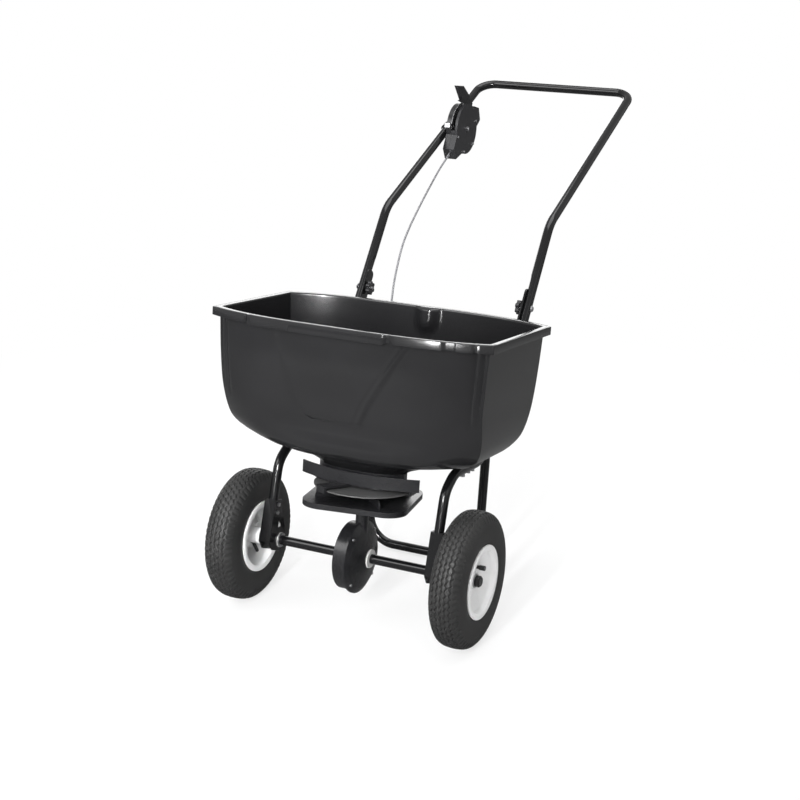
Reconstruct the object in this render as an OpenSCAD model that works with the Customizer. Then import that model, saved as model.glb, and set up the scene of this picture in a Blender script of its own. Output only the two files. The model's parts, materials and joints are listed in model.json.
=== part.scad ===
// Lawn spreader: a push-along broadcast spreader with two pneumatic wheels.
// Lengths are millimetres, angles degrees. X runs along the axle, -Y is the way it travels, +Z is up.
// The origin is on the ground, midway between the wheels, straight below the axle.
// The spreader leans back on its stand, so all but the wheels and axle is drawn in a machine frame:
// x along the axle, u backwards and w upwards from the axle's centre, tilted back by the pitch.

/* [Stance] */
// How far the whole machine leans back on its stand
pitch = 8.7; // [6:0.1:11]
// Distance between the middles of the two tyres
track = 553; // [548:1:580]

/* [Wheels] */
// Radius of the tyre
wheel_r = 152.5; // [148:0.5:160]
// Width of the tyre
tyre_w = 74; // [68:1:76]
// Radius of the rim's flange
rim_flange_r = 83; // [80:0.5:86]
// Thickness of the tyre's wall
tyre_wall = 9; // [7:0.5:11]
// Radius of the wheel's hub
hub_r = 19; // [17:0.5:22]
// Number of ribs behind the rim's dish
rim_rib_count = 12; // [8:1:16]

/* [Axle] */
// Diameter of the axle shaft
axle_d = 16; // [14:0.5:17]
// Diameter of the spacer tubes round the axle
spacer_d = 22; // [20.5:0.5:25]
// Radial running clearance of shafts in their bushes
run_gap = 0.05; // [0.03:0.01:0.09]
// Free gap between faces that move past each other
side_gap = 0.3; // [0.2:0.05:0.5]

/* [Frame] */
// Diameter of the frame, stand and handle tubes
tube_d = 22; // [20:0.5:24]
// Wall of the tubes
tube_wall = 1.5; // [1.2:0.1:2.5]
// Distance from the middle to each frame tube
frame_x = 207; // [203:1:211]
// Distance from the middle to each leg of the stand
stand_x = 148; // [130:1:165]
// How far behind the axle the stand's legs are
stand_u = 378; // [350:1:400]
// Radius of the stand's lower corners
stand_bend_r = 68; // [50:1:80]
// Height of the level run of the tubes above the axle
deck_w = 216; // [210:1:222]
// Thickness of the axle brackets' sheet
bracket_t = 3; // [2:0.5:4]

/* [Handle] */
// Distance from the middle to each leg of the handle
handle_x = 216; // [212:1:222]
// Height of the handle's crossbar above the axle
bar_w = 1050; // [980:1:1100]
// How far behind the axle the crossbar is
bar_u = 1064; // [1020:1:1100]
// Radius of the crossbar's corners
bar_corner_r = 45; // [35:1:60]
// Radius of the bend in each leg
leg_bend_r = 90; // [60:1:120]
// Diameter of the folding bolts
fold_bolt_d = 8; // [6:0.5:9]
// Radius of the star knobs
knob_r = 17; // [15:0.5:20]

/* [Hopper] */
// Half the width of the hopper at its rim
hopper_a = 323; // [315:1:335]
// Half the depth of the hopper at its rim, in the middle
hopper_b = 212; // [200:1:222]
// Half the length of the rim's straight ends
hopper_c = 157; // [145:1:165]
// Height of the rim above the axle
rim_w = 537; // [525:1:545]
// Thickness of the hopper's wall
hopper_t = 3.5; // [2.5:0.5:5]
// Width of the turned-out lip
lip_out = 12; // [9:1:15]
// Depth of the lip's skirt
lip_deep = 19; // [14:1:24]
// How far the shield stands out of the front wall
shield_out = 4; // [2:0.5:6]

/* [Spreading] */
// Sideways place of the impeller's shaft
shaft_x = 12; // [8:0.5:16]
// Diameter of the impeller's shaft
shaft_d = 10; // [9:0.5:11]
// Height of the impeller's plate above the axle
plate_w = 143; // [141:0.5:146]
// Side of the impeller's square plate
plate_side = 236; // [220:1:244]
// Height of the impeller's fins
fin_h = 17; // [13:0.5:18]
// Radius of the gate disc
gate_r = 112; // [106:1:114]
// Diameter of each outlet port
port_d = 22; // [16:1:22]
// Thickness of the gate disc
gate_t = 3; // [2:0.5:3.5]

/* [Gears] */
// Size of the gear teeth, pitch diameter over tooth count
gear_m = 2; // [1.9:0.05:2.05]
// Teeth on the pinion
pinion_teeth = 10; // [10:1:10]
// Teeth on the crown gear
crown_teeth = 60; // [60:1:60]
// Outer radius of the gearbox's left shell
box_r = 77; // [76:0.5:80]
// Thickness of the gearbox's walls
box_t = 3; // [2.5:0.5:3.5]

/* [Control] */
// Radius of the control's housing
dial_r = 66; // [62:1:70]
// Thickness of each half of the housing
dial_t = 16; // [14:0.5:18]
// Length of the lever from its pivot
lever_len = 122; // [105:1:135]
// Diameter of the control cable
cable_d = 5; // [4:0.5:6]

/* [Hidden] */
$fn = 64;

axle_r = axle_d / 2;
tube_r = tube_d / 2;
shaft_r = shaft_d / 2;
cover = 1;

// Tubes: the lower run leans back, then a short rise, the level deck and the slope of the handle's legs.
lean_ratio = 0.2055;
lower_tube_u = -36;
lower_tube_end_w = 58;
rise_corner = [1, 184];
deck_front_u = 45;
leg_u0 = 394;
leg_w0 = 545;
leg_angle = 60.4;
leg_dir = [cos(leg_angle), sin(leg_angle)];
leg_bend_up = 221;
deck_back_u = leg_u0 + (deck_w - leg_w0) / tan(leg_angle);
rise_r = 55;
deck_front_r = 60;
deck_back_r = 80;

// Flattened tube ends at the folding bolts
strap_t = 5;
strap_wide = 34;
strap_up = 46;
strap_down = 45;
strap_blend = 34;
strap_round = 11;
strap_x = frame_x - strap_t / 2;
leg_flat_x = frame_x + strap_t / 2 + side_gap;
leg_down = 38;
leg_flat_up = 78;

// Stand
stand_w = (tube_r - wheel_r + stand_u * sin(pitch)) / cos(pitch);
stand_top_r = 50;

// Cross bar on the deck of the tubes
bar_front_u = 118;
bar_back_u = 158;
bar_t = 4;
bar_over = 12;
deck_top_w = deck_w + tube_r;

// Axle, from the middle outwards
bracket_half = tube_r + bracket_t + 0.05;
bracket_in_x = frame_x - bracket_half;
bracket_out_x = frame_x + bracket_half;
bush_r = axle_r + 3;
flange_r = axle_r + 9;
flange_t = 2;
washer_t = 2;
hub_in_x = track / 2 - tyre_w / 2 + 0.5;
hub_out_x = track / 2 + 17;
axle_end_x = hub_out_x + 10;

// Gears: the crown gear's teeth face the pinion, which stands on the impeller's shaft.
pinion_r = gear_m * pinion_teeth / 2;
crown_r = gear_m * crown_teeth / 2;
tooth_up = 0.8 * gear_m;
tooth_down = 1.2 * gear_m;
tooth_wide = 10;
tooth_half = 0.5 * gear_m;
tooth_slope = 0.25;
pitch_x = shaft_x - pinion_r;
crown_disc_t = 8;
pinion_face = 8;
pinion_neck = 5;
flange_box_t = 4;
box_bush_len = 11;

// Gearbox
box_left_x = -18;
box_split_x = 10;
box_rim_x = 15;
box_hub_x = 37;
box_big_r = box_r + 6;
box_hub_r = 21;
boss_r = 14.5;
boss_top_w = 112;
bush_wall = 4;

// Hopper floor
floor_w = 173;
floor_t = 5;
throat_w = 205;
gate_w = floor_w - 4 - gate_t;
gate_turn = 36;
port_r = 38;
port_angles = [10, 90, 170];
hook_angles = [243, 3, 123];
hook_wide = 30;
tab_angle = 170;
tab_r = gate_r + 13;
plate_t = 3;
plate_skirt = 12;
plate_corner_r = 50;
plate_turn = 11;

// Control, on the inner side of the left leg
dial_u = 876;
dial_w = 929;
dial_in_x = -handle_x + tube_r + 1;
stop_rest = 174;
lever_t = 7;

// Route of the cable: x, u and w, chosen by hand
cable_route = [[-188, 794.3, 854.8], [-188, 748, 824], [-185, 687, 781], [-180, 621, 735], [-174, 556, 687],
    [-168, 507, 644], [-162, 470, 592], [-156, 444, 550], [-150, 426, 516], [-142, 396, 440], [-132, 350, 350],
    [-122, 290, 262], [-114, 220, 200], [-111, 160, 172], [-111, 122, 170.5], [-111, 104, 170.5]];
cable_rings_each = 5;
cable_sides = 10;

// Levels of the hopper's outline: height above the axle, then the share of each half size and the middle's u
hopper_levels = [
    [205, 105, 48, 8, 14], [213, 118, 58, 8, 18], [222, 150, 76, 8, 28], [231, 186, 84, 12, 32],
    [240, 230, 130, 34, 37], [250, 262, 150, 60, 45], [265, 285, 165, 90, 53], [285, 300, 172, 112, 59],
    [304, 307, 176, 124, 62], [338, 312, 186, 138, 64], [380, 314, 193, 151, 65], [445, 318, 204, 156, 65],
    [500, 321, 209, 157, 65]];
hopper_mid_u = 65;
arc_power = 3.5;
end_steps = 3;
arc_steps = 22;

function unit(v) = v / norm(v);
function lerp(a, b, t) = a + (b - a) * t;
function tube_u(w) = lower_tube_u + lean_ratio * w;
function leg_point(t) = [leg_u0, leg_w0] + t * leg_dir;

// Put children in the machine frame, or at a wheel with +Z along the axle and outwards.
module machine() translate([0, 0, wheel_r]) rotate([-pitch, 0, 0]) children();
module wheel(side) translate([side * track / 2, 0, wheel_r]) rotate([0, side * 90, 0]) children();
module along_x(x) translate([x, 0, 0]) rotate([0, 90, 0]) children();
module both() { children(); mirror([1, 0, 0]) children(); }

// A straight rod between two points
module rod(a, b, d) {
    v = b - a;
    translate(a) rotate([0, acos(v.z / norm(v)), atan2(v.y, v.x)]) cylinder(h = norm(v), d = d);
}

// A rod bent through points p with the bend radii r; the ends run on by the length more.
function turn_at(p, i) = acos(unit(p[i] - p[i - 1]) * unit(p[i + 1] - p[i]));
function cut_at(p, r, i) = (i == 0 || i == len(p) - 1) ? 0 : r[i] * tan(turn_at(p, i) / 2);
module bend(p, r, i, d) {
    d1 = unit(p[i] - p[i - 1]);
    d2 = unit(p[i + 1] - p[i]);
    t = turn_at(p, i);
    n = unit(cross(d1, d2));
    c = p[i] + unit(d2 - d1) * r[i] / cos(t / 2);
    e = unit(p[i] - d1 * cut_at(p, r, i) - c);
    multmatrix([[e.x, d1.x, n.x, c.x], [e.y, d1.y, n.y, c.y], [e.z, d1.z, n.z, c.z], [0, 0, 0, 1]])
        rotate_extrude(angle = t) translate([r[i], 0]) circle(d = d);
}
module bent_rod(p, r, d, more = 0) {
    last = len(p) - 1;
    for (i = [0 : last - 1]) {
        v = unit(p[i + 1] - p[i]);
        rod(p[i] + v * (cut_at(p, r, i) - (i == 0 ? more : 0)),
            p[i + 1] - v * (cut_at(p, r, i + 1) - (i == last - 1 ? more : 0)), d);
    }
    for (i = [1 : last - 1]) bend(p, r, i, d);
}
module bent_tube(p, r) difference() {
    bent_rod(p, r, tube_d);
    bent_rod(p, r, tube_d - 2 * tube_wall, cover);
}

// A hollow tube swept along the same kind of path in one piece, for bends that are not square
tube_sides = 24;
bend_steps = 7;
function arc_points(p, r, i) = let(
    d1 = unit(p[i] - p[i - 1]),
    d2 = unit(p[i + 1] - p[i]),
    t = turn_at(p, i),
    c = p[i] + unit(d2 - d1) * r[i] / cos(t / 2),
    e = unit(p[i] - d1 * cut_at(p, r, i) - c))
    [for (k = [0 : bend_steps]) c + r[i] * (e * cos(k * t / bend_steps) + d1 * sin(k * t / bend_steps))];
function swept_route(p, r) = concat([p[0]], [for (i = [1 : len(p) - 2]) each arc_points(p, r, i)], [p[len(p) - 1]]);
function along_at(q, k) = k == 0 ? unit(q[1] - q[0]) : k == len(q) - 1 ? unit(q[k] - q[k - 1])
    : unit(unit(q[k] - q[k - 1]) + unit(q[k + 1] - q[k]));
function square_to(n, along) = unit(n - along * (n * along));
function swept_normals(q) = [for (k = 0, n = [1, 0, 0]; k < len(q);
    k = k + 1, n = k < len(q) ? square_to(n, along_at(q, k)) : n) n];
function swept_rings(q, radius) = let(normals = swept_normals(q))
    [for (k = [0 : len(q) - 1]) let(n1 = normals[k], n2 = cross(along_at(q, k), n1)) for (j = [0 : tube_sides - 1])
        q[k] + radius * (cos(j * 360 / tube_sides) * n1 + sin(j * 360 / tube_sides) * n2)];
module swept_tube(p, r) {
    q = swept_route(p, r);
    n = tube_sides;
    last = len(q) - 1;
    inner = n * len(q);
    polyhedron(points = concat(swept_rings(q, tube_r), swept_rings(q, tube_r - tube_wall)), faces = concat(
        [for (k = [0 : last - 1]) for (j = [0 : n - 1]) let(a = k * n + j, b = k * n + (j + 1) % n)
            each [[a, a + n, b + n], [a, b + n, b], [inner + a, inner + b + n, inner + a + n], [inner + a, inner + b, inner + b + n]]],
        [for (j = [0 : n - 1]) let(b = (j + 1) % n) each [[j, b, inner + b], [j, inner + b, inner + j]]],
        [for (j = [0 : n - 1]) let(a = last * n + j, b = last * n + (j + 1) % n)
            each [[a, inner + b, b], [a, inner + a, inner + b]]]));
}
module ring(r_out, r_in, h) difference() {
    cylinder(r = r_out, h = h);
    translate([0, 0, -cover]) cylinder(r = r_in, h = h + 2 * cover);
}

// Hopper: rings of one outline, from the throat up, over the turned-out lip and down the inside.
function outline_half(a, b, c) = concat(
    [for (i = [0 : end_steps - 1]) [a, c * i / end_steps]],
    [for (i = [0 : arc_steps]) let(s = i / arc_steps) [a * (1 - s), c + (b - c) * (1 - pow(1 - s, arc_power))]]);
function outline(a, b, c) = let(
    q = outline_half(a, b, c),
    n = len(q))
    concat(q, [for (i = [n - 2 : -1 : 0]) [-q[i].x, q[i].y]],
        [for (i = [1 : n - 1]) [-q[i].x, -q[i].y]], [for (i = [n - 2 : -1 : 1]) [q[i].x, -q[i].y]]);
ring_points = 4 * (end_steps + arc_steps);

// The shield stands out of the front wall, and a rounded pocket is pressed into the back wall.
function soft(v) = v <= 0 ? 0 : v >= 1 ? 1 : v * v * (3 - 2 * v);
shield_half = 70;
shield_slope = 0.47;
shield_low_w = 330;
shield_high_w = 506;
function shield(x, w) = soft((w - shield_low_w) / 14) * soft((shield_high_w + 10 - w) / 14)
    * soft((shield_half + shield_slope * (w - shield_low_w) - abs(x)) / 14);
pocket_half = 34;
pocket_low_w = 462;
pocket_in = 16;
function pocket(x, w) = let(d = w > pocket_low_w ? abs(x) : norm([x, w - pocket_low_w]))
    soft((pocket_half - d) / 14) * soft((rim_w - w) / 10 + 0.4);
function pressed(p, w, front, back) = p.y < 0 ? [p.x, p.y - front * shield(p.x, w)]
    : [p.x, p.y - back * pocket(p.x, w)];
function hopper_ring(w, a, b, c, mid, grow, lift, push) = [for (p = outline(a + grow, b + grow, c + grow))
    let(q = pressed(p, w, push, pocket_in * push / shield_out)) [q.x, q.y + mid, w + lift]];
function floor_lift(w) = hopper_t * soft((320 - w) / 60);
module hopper_shell() {
    top = [rim_w, hopper_a, hopper_b, hopper_c, hopper_mid_u];
    lip = hopper_t;
    all = concat(
        [for (v = hopper_levels) hopper_ring(v[0], v[1], v[2], v[3], v[4], 0, 0, shield_out)],
        [hopper_ring(rim_w - lip, top[1], top[2], top[3], top[4], 0, 0, shield_out),
         hopper_ring(rim_w - lip, top[1], top[2], top[3], top[4], lip_out - lip, 0, 0),
         hopper_ring(rim_w - lip_deep, top[1], top[2], top[3], top[4], lip_out - lip, 0, 0),
         hopper_ring(rim_w - lip_deep, top[1], top[2], top[3], top[4], lip_out, 0, 0),
         hopper_ring(rim_w - 2, top[1], top[2], top[3], top[4], lip_out, 0, 0),
         hopper_ring(rim_w, top[1], top[2], top[3], top[4], lip_out - 2, 0, 0),
         hopper_ring(rim_w, top[1], top[2], top[3], top[4], -hopper_t, 0, shield_out)],
        [for (i = [len(hopper_levels) - 1 : -1 : 0]) let(v = hopper_levels[i])
            hopper_ring(v[0], v[1], v[2], v[3], v[4], -hopper_t, floor_lift(v[0]), shield_out)]);
    n = ring_points;
    m = len(all);
    polyhedron(points = [for (r = all) for (q = r) q],
        faces = [for (j = [0 : m - 1]) for (i = [0 : n - 1])
            let(a = j * n + i, b = j * n + (i + 1) % n, c = ((j + 1) % m) * n + (i + 1) % n, d = ((j + 1) % m) * n + i)
            each [[a, c, b], [a, d, c]]]);
}
module hopper() color([0.09, 0.09, 0.1]) machine() hopper_shell();

// Height of the hopper's underside over a place, found between the levels
function level_at(w) = let(
    k = [for (i = [0 : len(hopper_levels) - 2]) if (w >= hopper_levels[i][0]) i],
    i = k[len(k) - 1],
    lo = hopper_levels[i],
    hi = hopper_levels[i + 1])
    lerp(lo, hi, (w - lo[0]) / (hi[0] - lo[0]));
function covers(v, x, u) = let(s = 1 - abs(x) / v[1])
    s > 0 && abs(u - v[4]) < v[3] + (v[2] - v[3]) * (1 - pow(1 - s, arc_power));
function under_w(x, u, lo = 206, hi = 400, n = 12) = n == 0 ? lo
    : let(m = (lo + hi) / 2) covers(level_at(m), x, u) ? under_w(x, u, lo, m, n - 1) : under_w(x, u, m, hi, n - 1);

// Feet moulded to the underside: two on the frame tubes, two on the cross bar
foot_r = 12;
foot_places = [[frame_x, 92, deck_top_w], [100, (bar_front_u + bar_back_u) / 2, deck_top_w + bar_t]];
foot_bolt_d = 8;
function foot_top(f) = min([for (a = [0 : 45 : 315]) under_w(f.x + foot_r * cos(a), f.y + foot_r * sin(a))])
    - side_gap;
module hopper_feet() color([0.09, 0.09, 0.1]) machine() both() for (f = foot_places) difference() {
    translate([f.x, f.y, f.z + 0.02]) cylinder(r = foot_r, h = foot_top(f) - f.z - 0.02);
    translate([f.x, f.y, f.z - cover]) cylinder(d = foot_bolt_d, h = foot_top(f) - f.z - 2 + cover);
}
module bolt(d, head, h, up) {
    cylinder(d = d, h = up);
    translate([0, 0, -h]) cylinder(r = head, h = h, $fn = 6);
}
module hopper_bolts() color([0.55, 0.56, 0.58]) machine() both() for (f = foot_places) {
    seat = f.x == frame_x ? deck_w - tube_r : deck_top_w;
    translate([f.x, f.y, seat - side_gap / 10]) bolt(foot_bolt_d - 0.2, 6.5, 5, foot_top(f) - seat - 3);
}

// Hopper floor: the plate with the ports and the throat that fills the hopper's bottom ring
module throat_shape(grow) {
    v = hopper_levels[0];
    translate([0, v[4]]) polygon(outline(v[1] + grow, v[2] + grow, v[3] + grow));
}
module at_shaft() translate([shaft_x, 0, 0]) children();
floor_bush_r = shaft_r + bush_wall;
hook_low_w = gate_w - side_gap - 3;
throat_t = 3;
module hopper_floor() color([0.1, 0.1, 0.1]) machine() difference() {
    union() {
        translate([0, 0, floor_w + floor_t]) linear_extrude(throat_w - floor_w - floor_t - side_gap) difference() {
            throat_shape(0);
            throat_shape(-throat_t);
        }
        translate([0, 0, floor_w]) linear_extrude(floor_t) throat_shape(14);
        at_shaft() for (a = hook_angles) rotate([0, 0, a]) {
            translate([30, -hook_wide / 2, floor_w]) cube([gate_r - 26, hook_wide, floor_t]);
            translate([gate_r + 1, -hook_wide / 2, hook_low_w]) cube([6, hook_wide, floor_w + floor_t - hook_low_w]);
            translate([gate_r - 8, -hook_wide / 2, hook_low_w]) cube([15, hook_wide, 3]);
        }
    }
    at_shaft() {
        translate([0, 0, floor_w - cover]) cylinder(r = floor_bush_r, h = floor_t + 2 * cover);
        for (a = port_angles) rotate([0, 0, a]) translate([port_r, 0, floor_w - cover])
            cylinder(d = port_d, h = floor_t + 2 * cover);
    }
}
module floor_bush() color([0.8, 0.8, 0.78]) machine() at_shaft() translate([0, 0, floor_w]) difference() {
    union() {
        cylinder(r = floor_bush_r - 0.02, h = floor_t + 1);
        translate([0, 0, floor_t + 0.02]) cylinder(r = floor_bush_r + 4, h = 3);
    }
    translate([0, 0, -cover]) cylinder(r = shaft_r + run_gap, h = floor_t + 3 + 2 * cover);
}
shroud_r = 318;
shroud_half = 27;
shroud_t = 3;
shroud_front_u = -58;
shroud_low_w = floor_w + floor_t + 0.05;
shroud_high_w = 206;
module fan_shroud() color([0.1, 0.1, 0.1]) machine() {
    translate([shaft_x, shroud_front_u + shroud_r, shroud_low_w]) rotate([0, 0, 270 - shroud_half])
        rotate_extrude(angle = 2 * shroud_half, $fn = 128) translate([shroud_r - shroud_t, 0])
            square([shroud_t, shroud_high_w - shroud_low_w]);
    for (x = [-40, 20]) translate([shaft_x + x, shroud_front_u + 2.6, floor_w + floor_t + 0.05]) cube([20, 18, 3]);
}

// Gate disc: a flat plate that turns about the shaft; its ports stand beside the floor's when shut.
module gate_disc() color([0.72, 0.73, 0.74]) machine() at_shaft() translate([0, 0, gate_w]) difference() {
    union() {
        cylinder(r = gate_r, h = gate_t, $fn = 128);
        rotate([0, 0, tab_angle]) translate([gate_r - 8, -11, 0]) cube([tab_r - gate_r + 15, 22, gate_t]);
    }
    translate([0, 0, -cover]) cylinder(r = shaft_r + 3, h = gate_t + 2 * cover);
    for (a = port_angles) rotate([0, 0, a - gate_turn]) translate([port_r, 0, -cover])
        cylinder(d = port_d, h = gate_t + 2 * cover);
    rotate([0, 0, tab_angle]) translate([tab_r, 0, -cover]) cylinder(d = 4, h = gate_t + 2 * cover);
}
wire_d = 2;
cable_end = cable_route[len(cable_route) - 1];
tab_x = shaft_x + tab_r * cos(tab_angle);
tab_u = tab_r * sin(tab_angle);
module gate_wire() color([0.7, 0.7, 0.7]) machine() {
    tab = [tab_x, tab_u, cable_end.z];
    rod([cable_end.x, cable_end.y - 0.2, cable_end.z], tab, wire_d);
    translate([tab_x, tab_u, gate_w - 3]) cylinder(d = wire_d, h = cable_end.z - gate_w + 3 + wire_d / 2);
}

// Shaft, impeller and agitator
shaft_low_w = 38;
shaft_high_w = 222;
hub_up = 12;
impeller_hub_r = 15;
agitator_w = 196;
agitator_reach = 26;
agitator_d = 6;
pin_d = 4;
module impeller_shaft() color([0.6, 0.6, 0.62]) machine() at_shaft() difference() {
    translate([0, 0, shaft_low_w]) cylinder(r = shaft_r, h = shaft_high_w - shaft_low_w);
    for (w = [plate_w - 5, agitator_w]) translate([-shaft_d, 0, w]) rotate([0, 90, 0])
        cylinder(d = w == agitator_w ? agitator_d : pin_d, h = 2 * shaft_d);
}
module plate_shape(grow) {
    half = plate_side / 2 + grow;
    r = plate_corner_r + grow;
    square([2 * half, 2 * (half - r)], center = true);
    square([2 * (half - r), 2 * half], center = true);
    for (x = [-1, 1]) for (y = [-1, 1]) translate([x * (half - r), y * (half - r)]) circle(r = r);
}
fin_round = 12;
module fin_shape() {
    reach = plate_side / 2 - 20;
    square([reach - fin_round, fin_h]);
    square([reach, fin_h - fin_round]);
    translate([reach - fin_round, fin_h - fin_round]) circle(r = fin_round);
}
module impeller() color([0.1, 0.1, 0.1]) machine() at_shaft() translate([0, 0, plate_w]) difference() {
    union() {
        rotate([0, 0, plate_turn]) {
            translate([0, 0, -plate_t]) linear_extrude(plate_t) plate_shape(0);
            translate([0, 0, -plate_skirt]) linear_extrude(plate_skirt - plate_t) difference() {
                plate_shape(0);
                plate_shape(-plate_t);
            }
            for (a = [0 : 90 : 270]) rotate([0, 0, a + 35]) translate([14, -1.5, 0]) rotate([90, 0, 0])
                linear_extrude(3) intersection() {
                    fin_shape();
                    square([plate_side, fin_h]);
                }
        }
        translate([0, 0, -plate_skirt]) cylinder(r = impeller_hub_r, h = plate_skirt + hub_up);
    }
    translate([0, 0, -plate_skirt - cover]) cylinder(r = shaft_r + 0.02, h = plate_skirt + hub_up + 2 * cover);
    translate([-impeller_hub_r - cover, 0, -5]) rotate([0, 90, 0]) cylinder(d = pin_d, h = 2 * impeller_hub_r + 2 * cover);
}
module agitator() color([0.6, 0.6, 0.62]) machine() at_shaft() {
    p = [[-agitator_reach, 0, agitator_w + 11], [-agitator_reach, 0, agitator_w], [agitator_reach, 0, agitator_w],
        [agitator_reach, 0, agitator_w + 11]];
    bent_rod(p, [0, 7, 7, 0], agitator_d - 0.1);
}
module shaft_pins() color([0.6, 0.6, 0.62]) machine() at_shaft() translate([-impeller_hub_r - 1, 0, plate_w - 5])
    rotate([0, 90, 0]) cylinder(d = pin_d - 0.1, h = 2 * impeller_hub_r + 2);

// Gears: straight teeth, thin enough to pass through mesh as the crown turns
function tooth_points(r, a) = [
    [r - tooth_down, a - asin((tooth_half + tooth_slope * tooth_down) / (r - tooth_down))],
    [r + tooth_up, a - asin((tooth_half - tooth_slope * tooth_up) / (r + tooth_up))],
    [r + tooth_up, a + asin((tooth_half - tooth_slope * tooth_up) / (r + tooth_up))],
    [r - tooth_down, a + asin((tooth_half + tooth_slope * tooth_down) / (r - tooth_down))]];
module pinion() color([0.75, 0.75, 0.72]) machine() at_shaft() translate([0, 0, crown_r - pinion_face / 2]) difference() {
    union() {
        linear_extrude(pinion_face) polygon([for (i = [0 : pinion_teeth - 1])
            for (q = tooth_points(pinion_r, 180 + (i + 0.5) * 360 / pinion_teeth))
                [q.x * cos(q.y), q.x * sin(q.y)]]);
        translate([0, 0, pinion_face]) cylinder(r = pinion_r - tooth_down, h = pinion_neck);
    }
    translate([0, 0, -cover]) cylinder(r = shaft_r + 0.02, h = pinion_face + pinion_neck + 2 * cover);
}
crown_hub_r = 18;
module crown_gear() color([0.75, 0.75, 0.72]) machine() {
    root_x = pitch_x - tooth_down;
    difference() {
        union() {
            along_x(root_x - crown_disc_t) cylinder(r = crown_r + tooth_wide / 2, h = crown_disc_t, $fn = 128);
            along_x(box_left_x + box_t + 1) cylinder(r = crown_hub_r, h = root_x - box_left_x - box_t + 6);
        }
        along_x(root_x - 2 * crown_disc_t - 10) cylinder(r = axle_r + 0.02, h = 60);
    }
    for (i = [0 : crown_teeth - 1]) rotate([i * 360 / crown_teeth, 0, 0])
        translate([root_x - 0.01, 0, crown_r - tooth_wide / 2]) linear_extrude(tooth_wide) polygon([
            [0, -tooth_half - tooth_slope * tooth_down], [tooth_down + tooth_up, -tooth_half + tooth_slope * tooth_up],
            [tooth_down + tooth_up, tooth_half - tooth_slope * tooth_up], [0, tooth_half + tooth_slope * tooth_down]]);
}

// Gearbox: a flat left shell and a coned right shell, with a boss for the impeller's shaft at the top
ear_places = [45, 135, 225, 315];
ear_r = 5.5;
screw_seat_x = 18.5;
screw_d = 3;
module ears(x, t, d) for (a = ear_places) rotate([a, 0, 0]) translate([0, 0, box_r - 3]) along_x(x) cylinder(d = d, h = t);
module gearbox_left_shell() color([0.1, 0.1, 0.1]) machine() difference() {
    union() {
        along_x(box_left_x) cylinder(r = box_r, h = box_split_x - box_left_x, $fn = 128);
        along_x(box_left_x - 8) cylinder(r = box_hub_r, h = 9);
    }
    difference() {
        along_x(box_left_x + box_t) cylinder(r = box_r - box_t, h = box_split_x - box_left_x, $fn = 128);
        ears(box_left_x, box_split_x - box_left_x, 2 * ear_r);
    }
    ears(box_left_x + 8, 40, screw_d);
    along_x(box_left_x - 20) cylinder(r = bush_r + 2.02, h = 40);
    at_shaft() translate([0, 0, box_r - 20]) cylinder(r = shaft_r + bush_wall, h = 60);
}
function right_profile(t) = [[0, 0], [box_big_r - t, 0], [box_big_r - t, box_rim_x - box_split_x - t * 0.4],
    [box_big_r - t - 14, box_rim_x - box_split_x + 8 - t], [box_hub_r + 8 - t, box_hub_x - box_split_x - 3 - t],
    [box_hub_r - t, box_hub_x - box_split_x - t], [0, box_hub_x - box_split_x - t]];
module gearbox_right_shell() color([0.1, 0.1, 0.1]) machine() difference() {
    union() {
        along_x(box_split_x + 0.02) rotate_extrude($fn = 128) polygon(right_profile(0));
        at_shaft() translate([0, 0, crown_r - 12]) cylinder(r = boss_r, h = boss_top_w - crown_r + 8);
        at_shaft() translate([0, 0, boss_top_w - 8]) cylinder(r = boss_r - 3, h = 8);
    }
    difference() {
        along_x(box_split_x - cover) rotate_extrude($fn = 128) polygon(right_profile(box_t));
        ears(box_split_x, 10, 2 * ear_r);
        at_shaft() translate([0, 0, crown_r - 12]) cylinder(r = boss_r, h = 40);
    }
    along_x(box_split_x - 3 * boss_r) cylinder(r = box_r + 0.1, h = 3 * boss_r + 0.02, $fn = 128);
    at_shaft() {
        translate([0, 0, crown_r - 14]) cylinder(r = pinion_r + tooth_up + 0.6, h = pinion_face / 2 + 16);
        translate([0, 0, crown_r - 14]) cylinder(r = shaft_r + bush_wall, h = 80);
    }
    ears(box_split_x - cover, 30, screw_d + 0.4);
    ears(screw_seat_x, 20, 8);
    along_x(0) cylinder(r = bush_r + 2.02, h = 60);
}
module gearbox_screws() color([0.55, 0.56, 0.58]) machine() for (a = ear_places) rotate([a, 0, 0])
    translate([screw_seat_x - 0.02, 0, box_r - 3]) rotate([0, -90, 0]) {
        cylinder(d = screw_d - 0.1, h = 26);
        translate([0, 0, -3.02]) cylinder(r = 3.5, h = 3);
    }
module gearbox_bushes() color([0.93, 0.93, 0.92]) machine() for (s = [-1, 1]) difference() {
    face = s < 0 ? box_left_x - 8 : box_hub_x;
    union() {
        along_x(s < 0 ? face - cover : face - box_bush_len) cylinder(r = bush_r + 2, h = box_bush_len + cover);
        along_x(s < 0 ? face - flange_box_t : face + 0.04) cylinder(r = box_hub_r, h = flange_box_t - 0.04);
    }
    along_x(face - 30) cylinder(r = axle_r + run_gap, h = 60);
    for (a = [30 : 60 : 330]) rotate([a, 0, 0]) translate([0, 0, box_hub_r - 4]) along_x(face - 5)
        cylinder(d = 3, h = 10);
}
module boss_bush() color([0.8, 0.8, 0.78]) machine() at_shaft() translate([0, 0, boss_top_w - 22]) difference() {
    union() {
        cylinder(r = shaft_r + bush_wall - 0.02, h = 23);
        translate([0, 0, 22.02]) cylinder(r = shaft_r + bush_wall + 3, h = 2);
    }
    translate([0, 0, -cover]) cylinder(r = shaft_r + run_gap, h = 24 + 2 * cover);
}

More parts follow.
